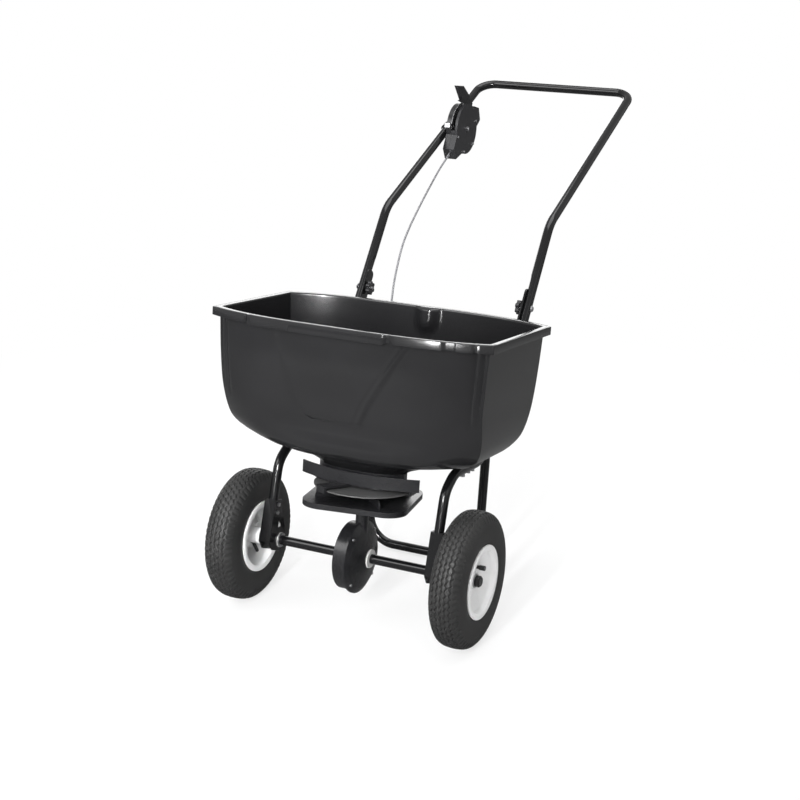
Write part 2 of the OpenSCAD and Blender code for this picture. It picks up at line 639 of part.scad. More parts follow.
// Axle: one shaft through both wheels and the bushes of the brackets and the gearbox
sleeve_right_x = box_hub_x + flange_box_t + side_gap;
sleeve_left_x = box_left_x - 8 - flange_box_t - side_gap;
washer_in_x = bracket_in_x - flange_t - side_gap - washer_t;
hub_washer_x = bracket_out_x + flange_t + side_gap;
cap_x = hub_out_x + washer_t + 2 * side_gap;
cap_r = axle_r + 5;
drive_pin_x = track / 2 - 10;
drive_pin_d = 6;
module level() translate([0, 0, wheel_r]) children();
module sleeve(x0, x1, r) along_x(x0) ring(r, axle_r + 0.1, x1 - x0);
module axle_shaft() color([0.6, 0.6, 0.62]) level() difference() {
    along_x(-axle_end_x) cylinder(r = axle_r, h = 2 * axle_end_x);
    translate([drive_pin_x, 0, -axle_d]) cylinder(d = drive_pin_d, h = 2 * axle_d);
}
module axle_spacers() color([0.08, 0.08, 0.08]) level() {
    sleeve(sleeve_right_x, washer_in_x - 0.02, spacer_d / 2);
    sleeve(-washer_in_x + 0.02, sleeve_left_x, spacer_d / 2);
}
module axle_washers() color([0.8, 0.8, 0.8]) level() both() {
    sleeve(washer_in_x, washer_in_x + washer_t, flange_r);
    sleeve(hub_washer_x, hub_in_x - side_gap, bush_r);
    sleeve(hub_out_x + side_gap, hub_out_x + side_gap + washer_t, hub_r - 3);
}
module axle_bushes() color([0.85, 0.85, 0.84]) level() both() difference() {
    union() {
        along_x(bracket_in_x - cover) cylinder(r = bush_r - 0.02, h = 2 * (bracket_half + cover));
        along_x(bracket_in_x - flange_t) cylinder(r = flange_r, h = flange_t - 0.02);
        along_x(bracket_out_x + 0.02) cylinder(r = flange_r, h = flange_t - 0.02);
    }
    along_x(bracket_in_x - 10) cylinder(r = axle_r + run_gap, h = 60);
}
module axle_caps() color([0.08, 0.08, 0.08]) level() both() difference() {
    union() {
        along_x(cap_x) cylinder(r = cap_r, h = 8);
        along_x(cap_x + 8) cylinder(r1 = cap_r, r2 = cap_r - 3, h = 3);
    }
    along_x(cap_x - cover) cylinder(r = axle_r + 0.05, h = axle_end_x - cap_x + cover + 0.1);
}
module drive_pin() color([0.6, 0.6, 0.62]) translate([drive_pin_x, 0, wheel_r - hub_r - 2])
    cylinder(d = drive_pin_d - 0.1, h = 2 * hub_r + 4);

// Axle brackets: a channel round the lower end of each frame tube, reaching back to the axle
bracket_lug_r = 26;
bracket_bolt_d = 6;
bracket_bolt_w = [70, 88];
web_in = (tube_r + 0.1) * sqrt(1 + lean_ratio * lean_ratio);
web_out = web_in + bracket_t;
module bracket_outline() polygon(concat(
    [[tube_u(100) - web_out, 100], [tube_u(100) + tube_r + 2, 97]],
    [for (a = [38 : -14 : -116]) bracket_lug_r * [cos(a), sin(a)]],
    [[-36, -16], [tube_u(4) - web_out, 4]]));
module bracket_plate(x) translate([x, 0, 0]) rotate([90, 0, 90]) linear_extrude(bracket_t) difference() {
    bracket_outline();
    circle(r = bush_r);
    polygon([[tube_u(52) + 15, 50], [tube_u(34) + 16, 31], [8, 31]]);
    for (w = bracket_bolt_w) translate([tube_u(w), w]) circle(d = bracket_bolt_d);
}
module right_axle_bracket() color([0.08, 0.08, 0.08]) machine() {
    bracket_plate(bracket_in_x);
    bracket_plate(bracket_out_x - bracket_t);
    translate([bracket_in_x + cover, 0, 0]) rotate([90, 0, 90]) linear_extrude(2 * (bracket_half - cover))
        polygon([[tube_u(100) - web_out, 100], [tube_u(100) - web_in, 100], [tube_u(4) - web_in, 4], [tube_u(4) - web_out, 4]]);
}
module left_axle_bracket() mirror([1, 0, 0]) right_axle_bracket();
module bracket_bolts() color([0.5, 0.51, 0.53]) machine() both() for (w = bracket_bolt_w) translate([0, tube_u(w), w]) {
    along_x(bracket_in_x - 3) cylinder(d = bracket_bolt_d - 0.1, h = 2 * bracket_half + 6);
    along_x(bracket_in_x - 4.05) cylinder(r = 5, h = 4, $fn = 6);
    along_x(bracket_out_x + 0.05) cylinder(r = 5, h = 4);
}

// Frame tubes: up from the axle bracket, back under the hopper and up behind it to a flattened end
bar_bolt_d = 6;
bar_bolt_u = [bar_front_u + 8, bar_back_u - 8];
blend_t = -strap_down - strap_blend;
function leg3(x, t) = [x, leg_point(t)[0], leg_point(t)[1]];
module on_leg(x, t) translate(leg3(x, t)) rotate([leg_angle, 0, 0]) children();
module right_frame_tube() color([0.08, 0.08, 0.08]) machine() difference() {
    union() {
        swept_tube([[frame_x, tube_u(lower_tube_end_w), lower_tube_end_w], [frame_x, rise_corner[0], rise_corner[1]],
            [frame_x, deck_front_u, deck_w], [frame_x, deck_back_u, deck_w], leg3(frame_x, blend_t)],
            [0, rise_r, deck_front_r, deck_back_r, 0]);
        hull() {
            on_leg(frame_x, blend_t - 2) rotate([-90, 0, 0]) cylinder(r = tube_r - tube_wall / 3, h = 2, $fn = 32);
            on_leg(strap_x, -strap_down) translate([0, 0, -strap_wide / 2]) cube([strap_t, 0.5, strap_wide]);
        }
        on_leg(strap_x, 0) {
            translate([0, -strap_down, -strap_wide / 2]) cube([strap_t, strap_down + strap_up - strap_round, strap_wide]);
            translate([0, 0, strap_round - strap_wide / 2]) cube([strap_t, strap_up, strap_wide - 2 * strap_round]);
            for (z = [-1, 1]) translate([0, strap_up - strap_round, z * (strap_wide / 2 - strap_round)]) rotate([0, 90, 0])
                cylinder(r = strap_round, h = strap_t);
        }
    }
    on_leg(strap_x - cover, 0) rotate([0, 90, 0]) cylinder(r = fold_bolt_d / 2 + run_gap, h = strap_t + 2 * cover);
    for (w = bracket_bolt_w) translate([0, tube_u(w), w]) along_x(frame_x - 20) cylinder(d = bracket_bolt_d, h = 40);
    translate([frame_x, foot_places[0].y, deck_w - 20]) cylinder(d = foot_bolt_d, h = 40);
    for (u = bar_bolt_u) translate([frame_x, u, deck_w - 20]) cylinder(d = bar_bolt_d, h = 40);
}
module left_frame_tube() mirror([1, 0, 0]) right_frame_tube();

// Cross bar: ties the frame tubes and the stand, and carries the hopper's rear feet
bar_bolt_x = [frame_x, stand_x];
module cross_bar() color([0.08, 0.08, 0.08]) machine() translate([0, 0, deck_top_w + 0.02]) linear_extrude(bar_t - 0.02)
    difference() {
        translate([-frame_x - bar_over, bar_front_u]) square([2 * (frame_x + bar_over), bar_back_u - bar_front_u]);
        for (s = [-1, 1]) {
            for (x = bar_bolt_x) for (u = bar_bolt_u) translate([s * x, u]) circle(d = bar_bolt_d);
            translate([s * foot_places[1].x, foot_places[1].y]) circle(d = foot_bolt_d);
        }
        translate(tab_bolt) circle(d = 5);
    }
module frame_bolts() color([0.5, 0.51, 0.53]) machine() {
    translate([tab_bolt[0], tab_bolt[1], deck_top_w - 3.05]) bolt(4.9, 4.5, 3.5, bar_t + 6);
    translate([tab_bolt[0], tab_bolt[1], deck_top_w + bar_t + 0.05]) cylinder(r = 4.5, h = 3, $fn = 6);
    both() for (x = bar_bolt_x) for (u = bar_bolt_u)
        translate([x, u, deck_w - tube_r - 0.05]) {
            bolt(bar_bolt_d - 0.1, 5, 4, tube_d + bar_t + 4);
            translate([0, 0, tube_d + bar_t + 0.1]) cylinder(r = 5, h = 4, $fn = 6);
        }
}

// Stand: one tube, a bar on the ground and two legs that turn forwards under the cross bar
module stand() color([0.08, 0.08, 0.08]) machine() difference() {
    bent_tube([[-stand_x, bar_front_u, deck_w], [-stand_x, stand_u, deck_w], [-stand_x, stand_u, stand_w],
        [stand_x, stand_u, stand_w], [stand_x, stand_u, deck_w], [stand_x, bar_front_u, deck_w]],
        [0, stand_top_r, stand_bend_r, stand_bend_r, stand_top_r, 0]);
    both() for (u = bar_bolt_u) translate([stand_x, u, deck_w - 20]) cylinder(d = bar_bolt_d, h = 40);
}

// Handle: one bent tube whose lower ends are solid and flat on the side of the frame's straps
drain_d = 5;
handle_end = leg_point(-leg_down);
handle_mid = leg_point(leg_bend_up);
function side_path(x, low) = [[x, low[0], low[1]], [x, handle_mid[0], handle_mid[1]], [x, bar_u, bar_w]];
function handle_path(low) = concat(side_path(-handle_x, low), [for (i = [2 : -1 : 0]) side_path(handle_x, low)[i]]);
handle_radii = [0, leg_bend_r, bar_corner_r, bar_corner_r, leg_bend_r, 0];
module handle() color([0.08, 0.08, 0.08]) machine() difference() {
    union() {
        swept_tube(handle_path(handle_end), handle_radii);
        both() on_leg(handle_x, 1 - leg_down) rotate([-90, 0, 0]) cylinder(d = tube_d - tube_wall, h = leg_down + leg_flat_up + 5, $fn = 12);
    }
    both() on_leg(leg_flat_x - 40, 0) translate([0, -leg_down - cover, -40]) cube([40, leg_down + leg_flat_up + cover, 80]);
    both() translate([0, leg_u0, leg_w0]) along_x(frame_x) cylinder(d = fold_bolt_d, h = 60);
    translate([0, bar_u, bar_w - tube_r - cover]) cylinder(d = drain_d, h = tube_r);
}
bolt_end_x = handle_x + tube_r;
knob_len = 13;
knob_in_x = strap_x - side_gap - knob_len;
module fold_bolts() color([0.5, 0.51, 0.53]) machine() both() translate([0, leg_u0, leg_w0]) {
    along_x(knob_in_x - 3) cylinder(d = fold_bolt_d - 0.02, h = bolt_end_x - knob_in_x + 3);
    along_x(bolt_end_x) cylinder(r1 = 8, r2 = 5.5, h = 3.5);
}
module right_knob() color([0.07, 0.07, 0.07]) machine() translate([0, leg_u0, leg_w0]) along_x(knob_in_x) difference() {
    union() {
        cylinder(r = 9, h = knob_len);
        cylinder(r = knob_r - 4, h = 9);
        for (a = [0 : 60 : 300]) rotate([0, 0, a]) translate([knob_r - 5, 0, 0]) cylinder(r = 5, h = 9);
    }
    translate([0, 0, -cover]) cylinder(d = fold_bolt_d + 0.1, h = knob_len + 2 * cover);
}
module left_knob() mirror([1, 0, 0]) right_knob();

// Tyre: an arched section with grooves in the tread, hollow for the inner tube and open between its beads
bead_r = rim_flange_r - 10;
tyre_high = wheel_r - bead_r;
bead_gap = 20;
tread_grooves = [-18, -6, 6, 18];
groove_w = 3;
groove_deep = 3;
tyre_shape = [[0, 0.797], [0.126, 0.851], [0.164, 0.919], [0.277, 0.984], [0.44, 1], [0.616, 0.986], [0.767, 0.919],
    [0.881, 0.797], [0.962, 0.595], [0.991, 0.324], [1, 0]];
cavity_share = 1 - 2 * tyre_wall / tyre_w;
cavity_mid_r = wheel_r - tyre_wall - cavity_share * tyre_high / 2;
function tyre_side(s) = [for (q = tyre_shape) [bead_r + tyre_high * q[0], s * tyre_w / 2 * q[1]]];
function cavity_side(s) = [for (i = [2 : len(tyre_shape) - 1])
    [cavity_mid_r + cavity_share * tyre_high * (tyre_shape[i][0] - 0.5), s * cavity_share * tyre_w / 2 * tyre_shape[i][1]]];
function round_trip(a, b) = concat(a, [for (i = [len(b) - 2 : -1 : 0]) b[i]]);
module tyre() difference() {
    rotate_extrude($fn = 160) difference() {
        polygon(round_trip(tyre_side(1), tyre_side(-1)));
        polygon(round_trip(cavity_side(1), cavity_side(-1)));
        translate([bead_r - 1, -bead_gap]) square([cavity_mid_r - bead_r, 2 * bead_gap]);
    }
    for (z = tread_grooves) translate([0, 0, z - groove_w / 2]) ring(wheel_r + 5, wheel_r - groove_deep - abs(z) / 8, groove_w);
}
module left_tyre() color([0.12, 0.12, 0.12]) wheel(-1) tyre();
module right_tyre() color([0.12, 0.12, 0.12]) wheel(1) tyre();

// Inner tube, with its valve stem turned outwards through the rim's dish
inner_mid_r = (bead_r + wheel_r - tyre_wall) / 2;
inner_high = (wheel_r - tyre_wall - bead_r) / 2 - 1;
inner_wide = bead_gap + 1;
inner_wall = 2;
stem_r = 30;
stem_d = 8;
stem_z = 30;
valve_angle = 150;
module oval(grow) polygon([for (a = [0 : 10 : 350]) [inner_mid_r + (inner_high + grow) * cos(a), (inner_wide + grow) * sin(a)]]);
module inner_tube() {
    rotate_extrude($fn = 96) difference() {
        oval(0);
        oval(-inner_wall);
    }
    rotate([0, 0, valve_angle]) bent_rod([[inner_mid_r - inner_high + 1, 0, 0], [stem_r, 0, 0], [stem_r, 0, stem_z]],
        [0, 10, 0], stem_d);
}
module left_inner_tube() color([0.1, 0.1, 0.1]) wheel(-1) inner_tube();
module right_inner_tube() color([0.1, 0.1, 0.1]) wheel(1) inner_tube();
module valve_cap() rotate([0, 0, valve_angle]) translate([stem_r, 0, stem_z - 10]) difference() {
    cylinder(r = stem_d / 2 + 1.6, h = 13);
    translate([0, 0, -cover]) cylinder(d = stem_d + 0.04, h = 10 + cover + 0.05);
}
module left_valve_cap() color([0.05, 0.05, 0.05]) wheel(-1) valve_cap();
module right_valve_cap() color([0.05, 0.05, 0.05]) wheel(1) valve_cap();

// Rim: a barrel with two flanges, a dished web, a hub and ribs behind the web
barrel_r = bead_r - side_gap;
barrel_t = 4;
rim_half = tyre_w / 2;
flange_in_z = 0.85 * tyre_w / 2 + 1;
hub_in_z = hub_in_x - track / 2;
hub_out_z = hub_out_x - track / 2;
web_t = 4;
web_low_z = 8;
web_high_z = 20;
rib_t = 3;
function web_z(r) = lerp(web_low_z, web_high_z, (r - hub_r) / (barrel_r - barrel_t - hub_r));
module rim(right) difference() {
    union() {
        rotate_extrude($fn = 128) polygon([[barrel_r - barrel_t, -rim_half], [rim_flange_r, -rim_half], [rim_flange_r, -flange_in_z],
            [barrel_r, -flange_in_z + 1], [barrel_r, flange_in_z - 1], [rim_flange_r, flange_in_z], [rim_flange_r, rim_half],
            [barrel_r - barrel_t, rim_half]]);
        rotate_extrude($fn = 128) polygon([[hub_r - 1, web_low_z], [barrel_r - barrel_t + 0.5, web_high_z],
            [barrel_r - barrel_t + 0.5, web_high_z + web_t], [hub_r - 1, web_low_z + web_t]]);
        translate([0, 0, hub_in_z]) cylinder(r = hub_r, h = hub_out_z - hub_in_z);
        for (i = [0 : rim_rib_count - 1]) rotate([90, 0, (i + 0.5) * 360 / rim_rib_count]) translate([0, 0, -rib_t / 2])
            linear_extrude(rib_t) polygon([[hub_r - 1, -30], [barrel_r - barrel_t + 0.5, -20],
                [barrel_r - barrel_t + 0.5, web_high_z + 1], [hub_r - 1, web_low_z + 1]]);
    }
    translate([0, 0, hub_in_z - cover]) cylinder(r = bush_r, h = hub_out_z - hub_in_z + 2 * cover);
    rotate([0, 0, valve_angle]) {
        translate([barrel_r - 10, 0, 0]) rotate([0, 90, 0]) cylinder(r = stem_d / 2 + 1, h = 20);
        translate([stem_r, 0, 0]) cylinder(r = stem_d / 2 + 2.5, h = 40);
    }
    if (right) translate([-hub_r - 5, 0, drive_pin_x - track / 2]) rotate([0, 90, 0]) cylinder(d = drive_pin_d, h = 2 * hub_r + 10);
}
module left_rim() color([0.8, 0.8, 0.8]) wheel(-1) rim(false);
module right_rim() color([0.8, 0.8, 0.8]) wheel(1) rim(true);
module hub_bushes() for (z = [hub_in_z, hub_out_z - 10]) translate([0, 0, z]) ring(bush_r - 0.02, axle_r + run_gap, 10);
module left_hub_bushes() color([0.6, 0.5, 0.3]) wheel(-1) hub_bushes();
module right_hub_bushes() color([0.6, 0.5, 0.3]) wheel(1) hub_bushes();

// Control: a housing and a cover on the inner side of the left leg, with a toothed scale between them.
// Places on it are written from the lever's pivot: y backwards, z upwards, x away from the leg.
slot_in = dial_r - 10;
slot_high = 9;
pivot_d = 8;
cover_screws = [20, 200, 260, 320];
slot_from = 44;
slot_to = 184;
scale_z = dial_t - 1.3;
scale_t = 1;
stop_t = 12;
stop_long = 15.5;
lever_z = dial_t + 1.2;
gland_d = 9;
gland_at = [-70, -66];
gland_turn = 214.8;
gland_in = 8;
gland_out = 14;
clamp_u = 846;
clamp_screw = 22;
upper_angle = atan2(bar_w - handle_mid[1], bar_u - handle_mid[0]);
clamp_w = handle_mid[1] + (clamp_u - handle_mid[0]) * tan(upper_angle);
clamp_flange_x = handle_x + dial_in_x - 0.2;
tail = [[-60, -5], [-79, -53], [-61, -79], [-8, -58]];
bump = [[40, 60], [72, 56], [86, 24], [60, 2], [30, 30]];
module at_dial() machine() translate([dial_in_x, dial_u, dial_w]) rotate([90, 0, 90]) children();
module dial_outline() {
    circle(r = dial_r);
    polygon(tail);
    polygon(bump);
}
module screw_places() for (a = cover_screws) rotate([0, 0, a]) translate([dial_r - 5, 0]) children();
module sector(r0, r1, a0, a1) polygon(concat([for (i = [0 : 12]) r1 * [cos(lerp(a0, a1, i / 12)), sin(lerp(a0, a1, i / 12))]],
    [for (i = [12 : -1 : 0]) r0 * [cos(lerp(a0, a1, i / 12)), sin(lerp(a0, a1, i / 12))]]));
module gland_hole() translate([gland_at[0], gland_at[1], dial_t]) rotate([0, 90, gland_turn]) translate([0, 0, -gland_in - 0.1])
    cylinder(d = gland_d + 0.1, h = gland_in + 10);
module at_clamp() machine() translate([-handle_x, clamp_u, clamp_w]) rotate([upper_angle, 0, 0]) children();
module clamp_screw_places(x) for (s = [-1, 1]) translate([0, 0, s * clamp_screw]) along_x(x) children();
module control_housing() color([0.09, 0.09, 0.09]) difference() {
    at_dial() difference() {
        linear_extrude(dial_t - 0.02) difference() {
            dial_outline();
            circle(d = pivot_d + 0.1);
            screw_places() circle(d = 3);
        }
        translate([0, 0, scale_z - 0.05]) linear_extrude(5) sector(dial_r - 9, dial_r + 6, 88, 182);
        gland_hole();
        translate([0, 0, -cover]) cylinder(r = 12, h = cover + 3);
    }
    at_clamp() clamp_screw_places(clamp_flange_x - 5) cylinder(d = 3, h = 14);
}
module control_cover() color([0.16, 0.16, 0.16]) at_dial() difference() {
    translate([0, 0, dial_t]) linear_extrude(dial_t) difference() {
        dial_outline();
        circle(d = pivot_d + 0.1);
        screw_places() circle(d = 3.4);
    }
    translate([0, 0, dial_t - cover]) {
        cylinder(r = slot_in, h = slot_high + cover);
        linear_extrude(slot_high + cover) sector(slot_in - 2, dial_r + 30, slot_from, slot_to);
    }
    gland_hole();
}
module rate_scale() color([0.75, 0.75, 0.76]) at_dial() translate([0, 0, scale_z]) linear_extrude(scale_t) difference() {
    sector(dial_r - 8.5, dial_r + 3.5, 90, 180);
    for (a = [93 : 3 : 177]) rotate([0, 0, a]) translate([dial_r + 1.5, -0.8]) square([4, 1.6]);
}
module rate_stop() color([0.8, 0.8, 0.8]) at_dial() rotate([0, 0, stop_rest]) difference() {
    translate([dial_r + side_gap, -stop_t / 2, 1]) cube([stop_long, stop_t, lever_z - 1.6]);
    translate([dial_r - cover, -stop_t, scale_z - side_gap]) cube([5.2, 2 * stop_t, 5]);
}
module control_lever() color([0.06, 0.06, 0.06]) at_dial() translate([0, 0, lever_z]) difference() {
    union() {
        linear_extrude(lever_t) {
            circle(r = 28);
            polygon([[24, -8], [40, 54], [44, 67], [18, 84], [-34, 76], [-44, 73], [-10, 67], [-20, 16]]);
        }
        linear_extrude(lever_t + 3) polygon([[-72, lever_len - 10], [-32, lever_len - 10], [18, 84], [-34, 76]]);
    }
    translate([0, 0, -cover]) cylinder(d = pivot_d + 0.1, h = lever_t + 2 * cover);
}
module control_bolt() color([0.85, 0.85, 0.85]) at_dial() {
    translate([0, 0, 1]) cylinder(d = pivot_d - 0.02, h = 2 * dial_t + 4);
    translate([0, 0, 0.4]) cylinder(r = 11, h = 2.5);
    translate([0, 0, 2 * dial_t + 0.05]) cylinder(r = 6.5, h = 4, $fn = 6);
}
module control_screws() color([0.6, 0.6, 0.62]) {
    at_dial() screw_places() {
        translate([0, 0, 4]) cylinder(d = 2.9, h = 2 * dial_t - 3.5);
        translate([0, 0, 2 * dial_t + 0.05]) cylinder(r = 3.5, h = 2.2);
    }
    at_clamp() {
        clamp_screw_places(clamp_flange_x - 4) cylinder(d = 2.9, h = 11);
        clamp_screw_places(clamp_flange_x - 5.65) cylinder(r = 3.5, h = 2.6);
    }
}
module control_clamp() color([0.1, 0.1, 0.1]) at_clamp() difference() {
    union() {
        rotate([90, 0, 0]) cylinder(r = tube_r + 4, h = 16, center = true);
        translate([clamp_flange_x - 3, -8, -clamp_screw - 6]) cube([3, 16, 2 * clamp_screw + 12]);
    }
    rotate([90, 0, 0]) cylinder(r = tube_r + 0.05, h = 20, center = true);
    translate([clamp_flange_x, -20, -40]) cube([20, 40, 80]);
    clamp_screw_places(clamp_flange_x - 10) cylinder(d = 3.4, h = 14);
}
module control_gland() color([0.5, 0.5, 0.5]) at_dial() translate([gland_at[0], gland_at[1], dial_t]) rotate([0, 90, gland_turn])
    difference() {
        union() {
            translate([0, 0, -gland_in]) cylinder(d = gland_d, h = gland_in + gland_out - 4);
            translate([0, 0, gland_out - 4]) cylinder(d = gland_d - 2, h = 4);
        }
        translate([0, 0, -gland_in - cover]) cylinder(d = wire_d + 1, h = gland_in + gland_out + 2 * cover);
    }

// Cable bracket under the cross bar, and the cable from the control to the bracket
tab_bolt = [-118, bar_back_u - 18];
collar_r = 4.8;
module cable_bracket() color([0.1, 0.1, 0.1]) machine() difference() {
    union() {
        translate([-128, bar_front_u, deck_top_w - 3]) cube([19.5, 32, 2.98]);
        translate([-128, bar_front_u, cable_end.z - 9]) cube([24, 3, deck_top_w - cable_end.z + 8.98]);
        translate([cable_end.x, bar_front_u + 3, cable_end.z]) rotate([90, 0, 0]) cylinder(r = collar_r, h = 15);
    }
    translate([cable_end.x, bar_front_u + 10, cable_end.z]) rotate([90, 0, 0]) cylinder(d = cable_d + 0.3, h = 40);
    translate([tab_bolt[0], tab_bolt[1], deck_top_w - 10]) cylinder(d = 5, h = 20);
}
cable_r = cable_d / 2;
cable_last = cable_rings_each * (len(cable_route) - 1);
function spline(p, i, t) = let(a = p[max(i - 1, 0)], b = p[i], c = p[i + 1], d = p[min(i + 2, len(p) - 1)])
    0.5 * (2 * b + t * (c - a) + t * t * (2 * a - 5 * b + 4 * c - d) + t * t * t * (3 * b - 3 * c + d - a));
function cable_at(k) = let(i = min(floor(k / cable_rings_each), len(cable_route) - 2))
    spline(cable_route, i, k / cable_rings_each - i);
cable_middles = [for (k = [0 : cable_last]) cable_at(k)];
function cable_ring(k) = let(
    along = unit(cable_middles[min(k + 1, cable_last)] - cable_middles[max(k - 1, 0)]),
    n1 = unit(cross(along, [1, 0, 0])),
    n2 = cross(along, n1))
    [for (j = [0 : cable_sides - 1]) cable_middles[k] + cable_r * (cos(j * 360 / cable_sides) * n1
        + sin(j * 360 / cable_sides) * n2)];
module control_cable() color([0.35, 0.35, 0.36]) machine() polyhedron(
    points = [for (k = [0 : cable_last]) for (q = cable_ring(k)) q],
    faces = concat([[for (j = [0 : cable_sides - 1]) j]],
        [for (k = [0 : cable_last - 1]) for (j = [0 : cable_sides - 1])
            let(a = k * cable_sides + j, b = k * cable_sides + (j + 1) % cable_sides)
            each [[a, a + cable_sides, b + cable_sides], [a, b + cable_sides, b]]],
        [[for (j = [cable_sides - 1 : -1 : 0]) cable_last * cable_sides + j]]));

hopper();
hopper_floor();
fan_shroud();
hopper_feet();
hopper_bolts();
floor_bush();
gate_disc();
gate_wire();
impeller_shaft();
impeller();
agitator();
shaft_pins();
pinion();
crown_gear();
gearbox_left_shell();
gearbox_right_shell();
gearbox_screws();
gearbox_bushes();
boss_bush();
axle_shaft();
axle_spacers();
axle_washers();
axle_bushes();
axle_caps();
drive_pin();
left_axle_bracket();
right_axle_bracket();
bracket_bolts();
left_frame_tube();
right_frame_tube();
cross_bar();
frame_bolts();
stand();
handle();
fold_bolts();
left_knob();
right_knob();
left_tyre();
right_tyre();
left_inner_tube();
right_inner_tube();
left_rim();
right_rim();
left_valve_cap();
right_valve_cap();
left_hub_bushes();
right_hub_bushes();
control_housing();
control_cover();
control_clamp();
control_screws();
control_bolt();
control_lever();
rate_scale();
rate_stop();
control_gland();
cable_bracket();
control_cable();
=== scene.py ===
import json
import math

import bmesh
import bpy
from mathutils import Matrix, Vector


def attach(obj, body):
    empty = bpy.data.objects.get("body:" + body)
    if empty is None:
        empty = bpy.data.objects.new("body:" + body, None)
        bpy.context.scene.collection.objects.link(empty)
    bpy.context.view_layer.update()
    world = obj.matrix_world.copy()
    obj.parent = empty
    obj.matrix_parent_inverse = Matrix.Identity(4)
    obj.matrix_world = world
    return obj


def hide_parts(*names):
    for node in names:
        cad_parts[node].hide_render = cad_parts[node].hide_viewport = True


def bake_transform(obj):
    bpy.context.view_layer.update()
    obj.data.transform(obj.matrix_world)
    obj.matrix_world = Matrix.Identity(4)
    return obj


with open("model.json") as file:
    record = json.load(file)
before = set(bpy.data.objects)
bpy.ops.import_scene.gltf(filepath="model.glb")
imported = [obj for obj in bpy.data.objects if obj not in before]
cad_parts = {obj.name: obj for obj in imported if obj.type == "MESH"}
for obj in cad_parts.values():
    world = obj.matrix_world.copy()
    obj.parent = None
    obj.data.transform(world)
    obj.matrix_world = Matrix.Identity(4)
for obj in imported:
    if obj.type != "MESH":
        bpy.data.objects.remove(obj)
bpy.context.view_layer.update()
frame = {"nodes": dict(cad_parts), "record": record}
print("stage: frame loaded")

# Camera, fitted to the photograph's wheels: degrees, metres and a lens in millimetres
view = {"target": (0.1122, 0.0, 0.5411), "azimuth": 25.63, "elevation": 19.86, "distance": 3.3018, "lens": 69.7,
        "clipEnd": 60}


def aim(item, at, to):
    item.location = at
    item.rotation_mode = "QUATERNION"
    item.rotation_quaternion = (Vector(to) - Vector(at)).to_track_quat("-Z", "Y")
    bpy.context.scene.collection.objects.link(item)


def makeCamera():
    azimuth, elevation = math.radians(view["azimuth"]), math.radians(view["elevation"])
    level = math.cos(elevation)
    away = Vector((math.sin(azimuth) * level, -math.cos(azimuth) * level, math.sin(elevation)))
    data = bpy.data.cameras.new("camera")
    data.lens = view["lens"]
    data.clip_end = view["clipEnd"]
    camera = bpy.data.objects.new("camera", data)
    aim(camera, Vector(view["target"]) + away * view["distance"], view["target"])
    bpy.context.scene.camera = camera


makeCamera()
bpy.context.scene.view_settings.view_transform = "Standard"
print("stage: camera set")

# The machine frame leans back about the axle; x, u (backwards) and w (upwards) are millimetres from its middle
machine = {"lean": 8.7, "wheelR": 152.5, "tubeR": 11}
cosLean, sinLean = math.cos(math.radians(machine["lean"])), math.sin(math.radians(machine["lean"]))


def place(x, u, w):
    return Vector((x, u * cosLean + w * sinLean, machine["wheelR"] - u * sinLean + w * cosLean)) / 1000


def soft(v):
    v = min(1.0, max(0.0, v))
    return v * v * (3 - 2 * v)


def lerp(a, b, t):
    return a + (b - a) * t


# Shader maths: sockets that add, subtract and multiply
class Shader:
    def __init__(self, tree, socket):
        self.tree, self.socket = tree, socket

    def math(self, kind, other):
        return addNode(self.tree, "ShaderNodeMath", {"operation": kind}, 0, {0: self, 1: other})

    def __add__(self, o): return self.math("ADD", o)
    def __radd__(self, o): return self.math("ADD", o)
    def __mul__(self, o): return self.math("MULTIPLY", o)
    def __rmul__(self, o): return self.math("MULTIPLY", o)
    def __sub__(self, o): return self.math("SUBTRACT", o)
    def __rsub__(self, o): return self.math("MULTIPLY", -1.0).math("ADD", o)
    def clamp(self): return self.math("MAXIMUM", 0.0).math("MINIMUM", 1.0)


# One node: its type, its settings, the output that is used, then its sockets by name or number
def addNode(tree, kind, settings, out, sockets):
    made = tree.nodes.new(kind)
    for key, value in settings.items():
        setattr(made, key, value)
    for key, value in sockets.items():
        socket = made.inputs[key.replace("_", " ") if isinstance(key, str) else key]
        if isinstance(value, Shader):
            tree.links.new(value.socket, socket)
        else:
            socket.default_value = value
    return Shader(tree, made.outputs[out])


class Finish:
    def __init__(self, name, color, roughness, metallic=0.0, **sockets):
        self.material = bpy.data.materials.new(name)
        self.material.use_nodes = True
        self.tree = self.material.node_tree
        self.surface = self.tree.nodes["Principled BSDF"]
        self.surface.inputs["Base Color"].default_value = (*color, 1)
        self.surface.inputs["Roughness"].default_value = roughness
        self.surface.inputs["Metallic"].default_value = metallic
        for key, value in sockets.items():
            self.surface.inputs[key.replace("_", " ")].default_value = value

    def node(self, kind, settings=None, out=0, **sockets):
        return addNode(self.tree, kind, settings or {}, out, sockets)

    def feed(self, name, value):
        self.tree.links.new(value.socket, self.surface.inputs[name])

    def coords(self):
        return self.node("ShaderNodeTexCoord", out=3)

    def noise(self, scale, detail, rough):
        return self.node("ShaderNodeTexNoise", Vector=self.coords(), Scale=scale, Detail=detail, Roughness=rough)

    def colour(self, a, b, factor):
        sockets = {0: factor, 6: (*a, 1), 7: (*b, 1)}
        self.feed("Base Color", addNode(self.tree, "ShaderNodeMix", {"data_type": "RGBA"}, 2, sockets))

    def bump(self, height, strength, metres, edge):
        edges = self.node("ShaderNodeBevel", {"samples": 4}, Radius=edge)
        sockets = {"Height": height, "Strength": strength, "Distance": metres, "Normal": edges}
        self.feed("Normal", self.node("ShaderNodeBump", **sockets))


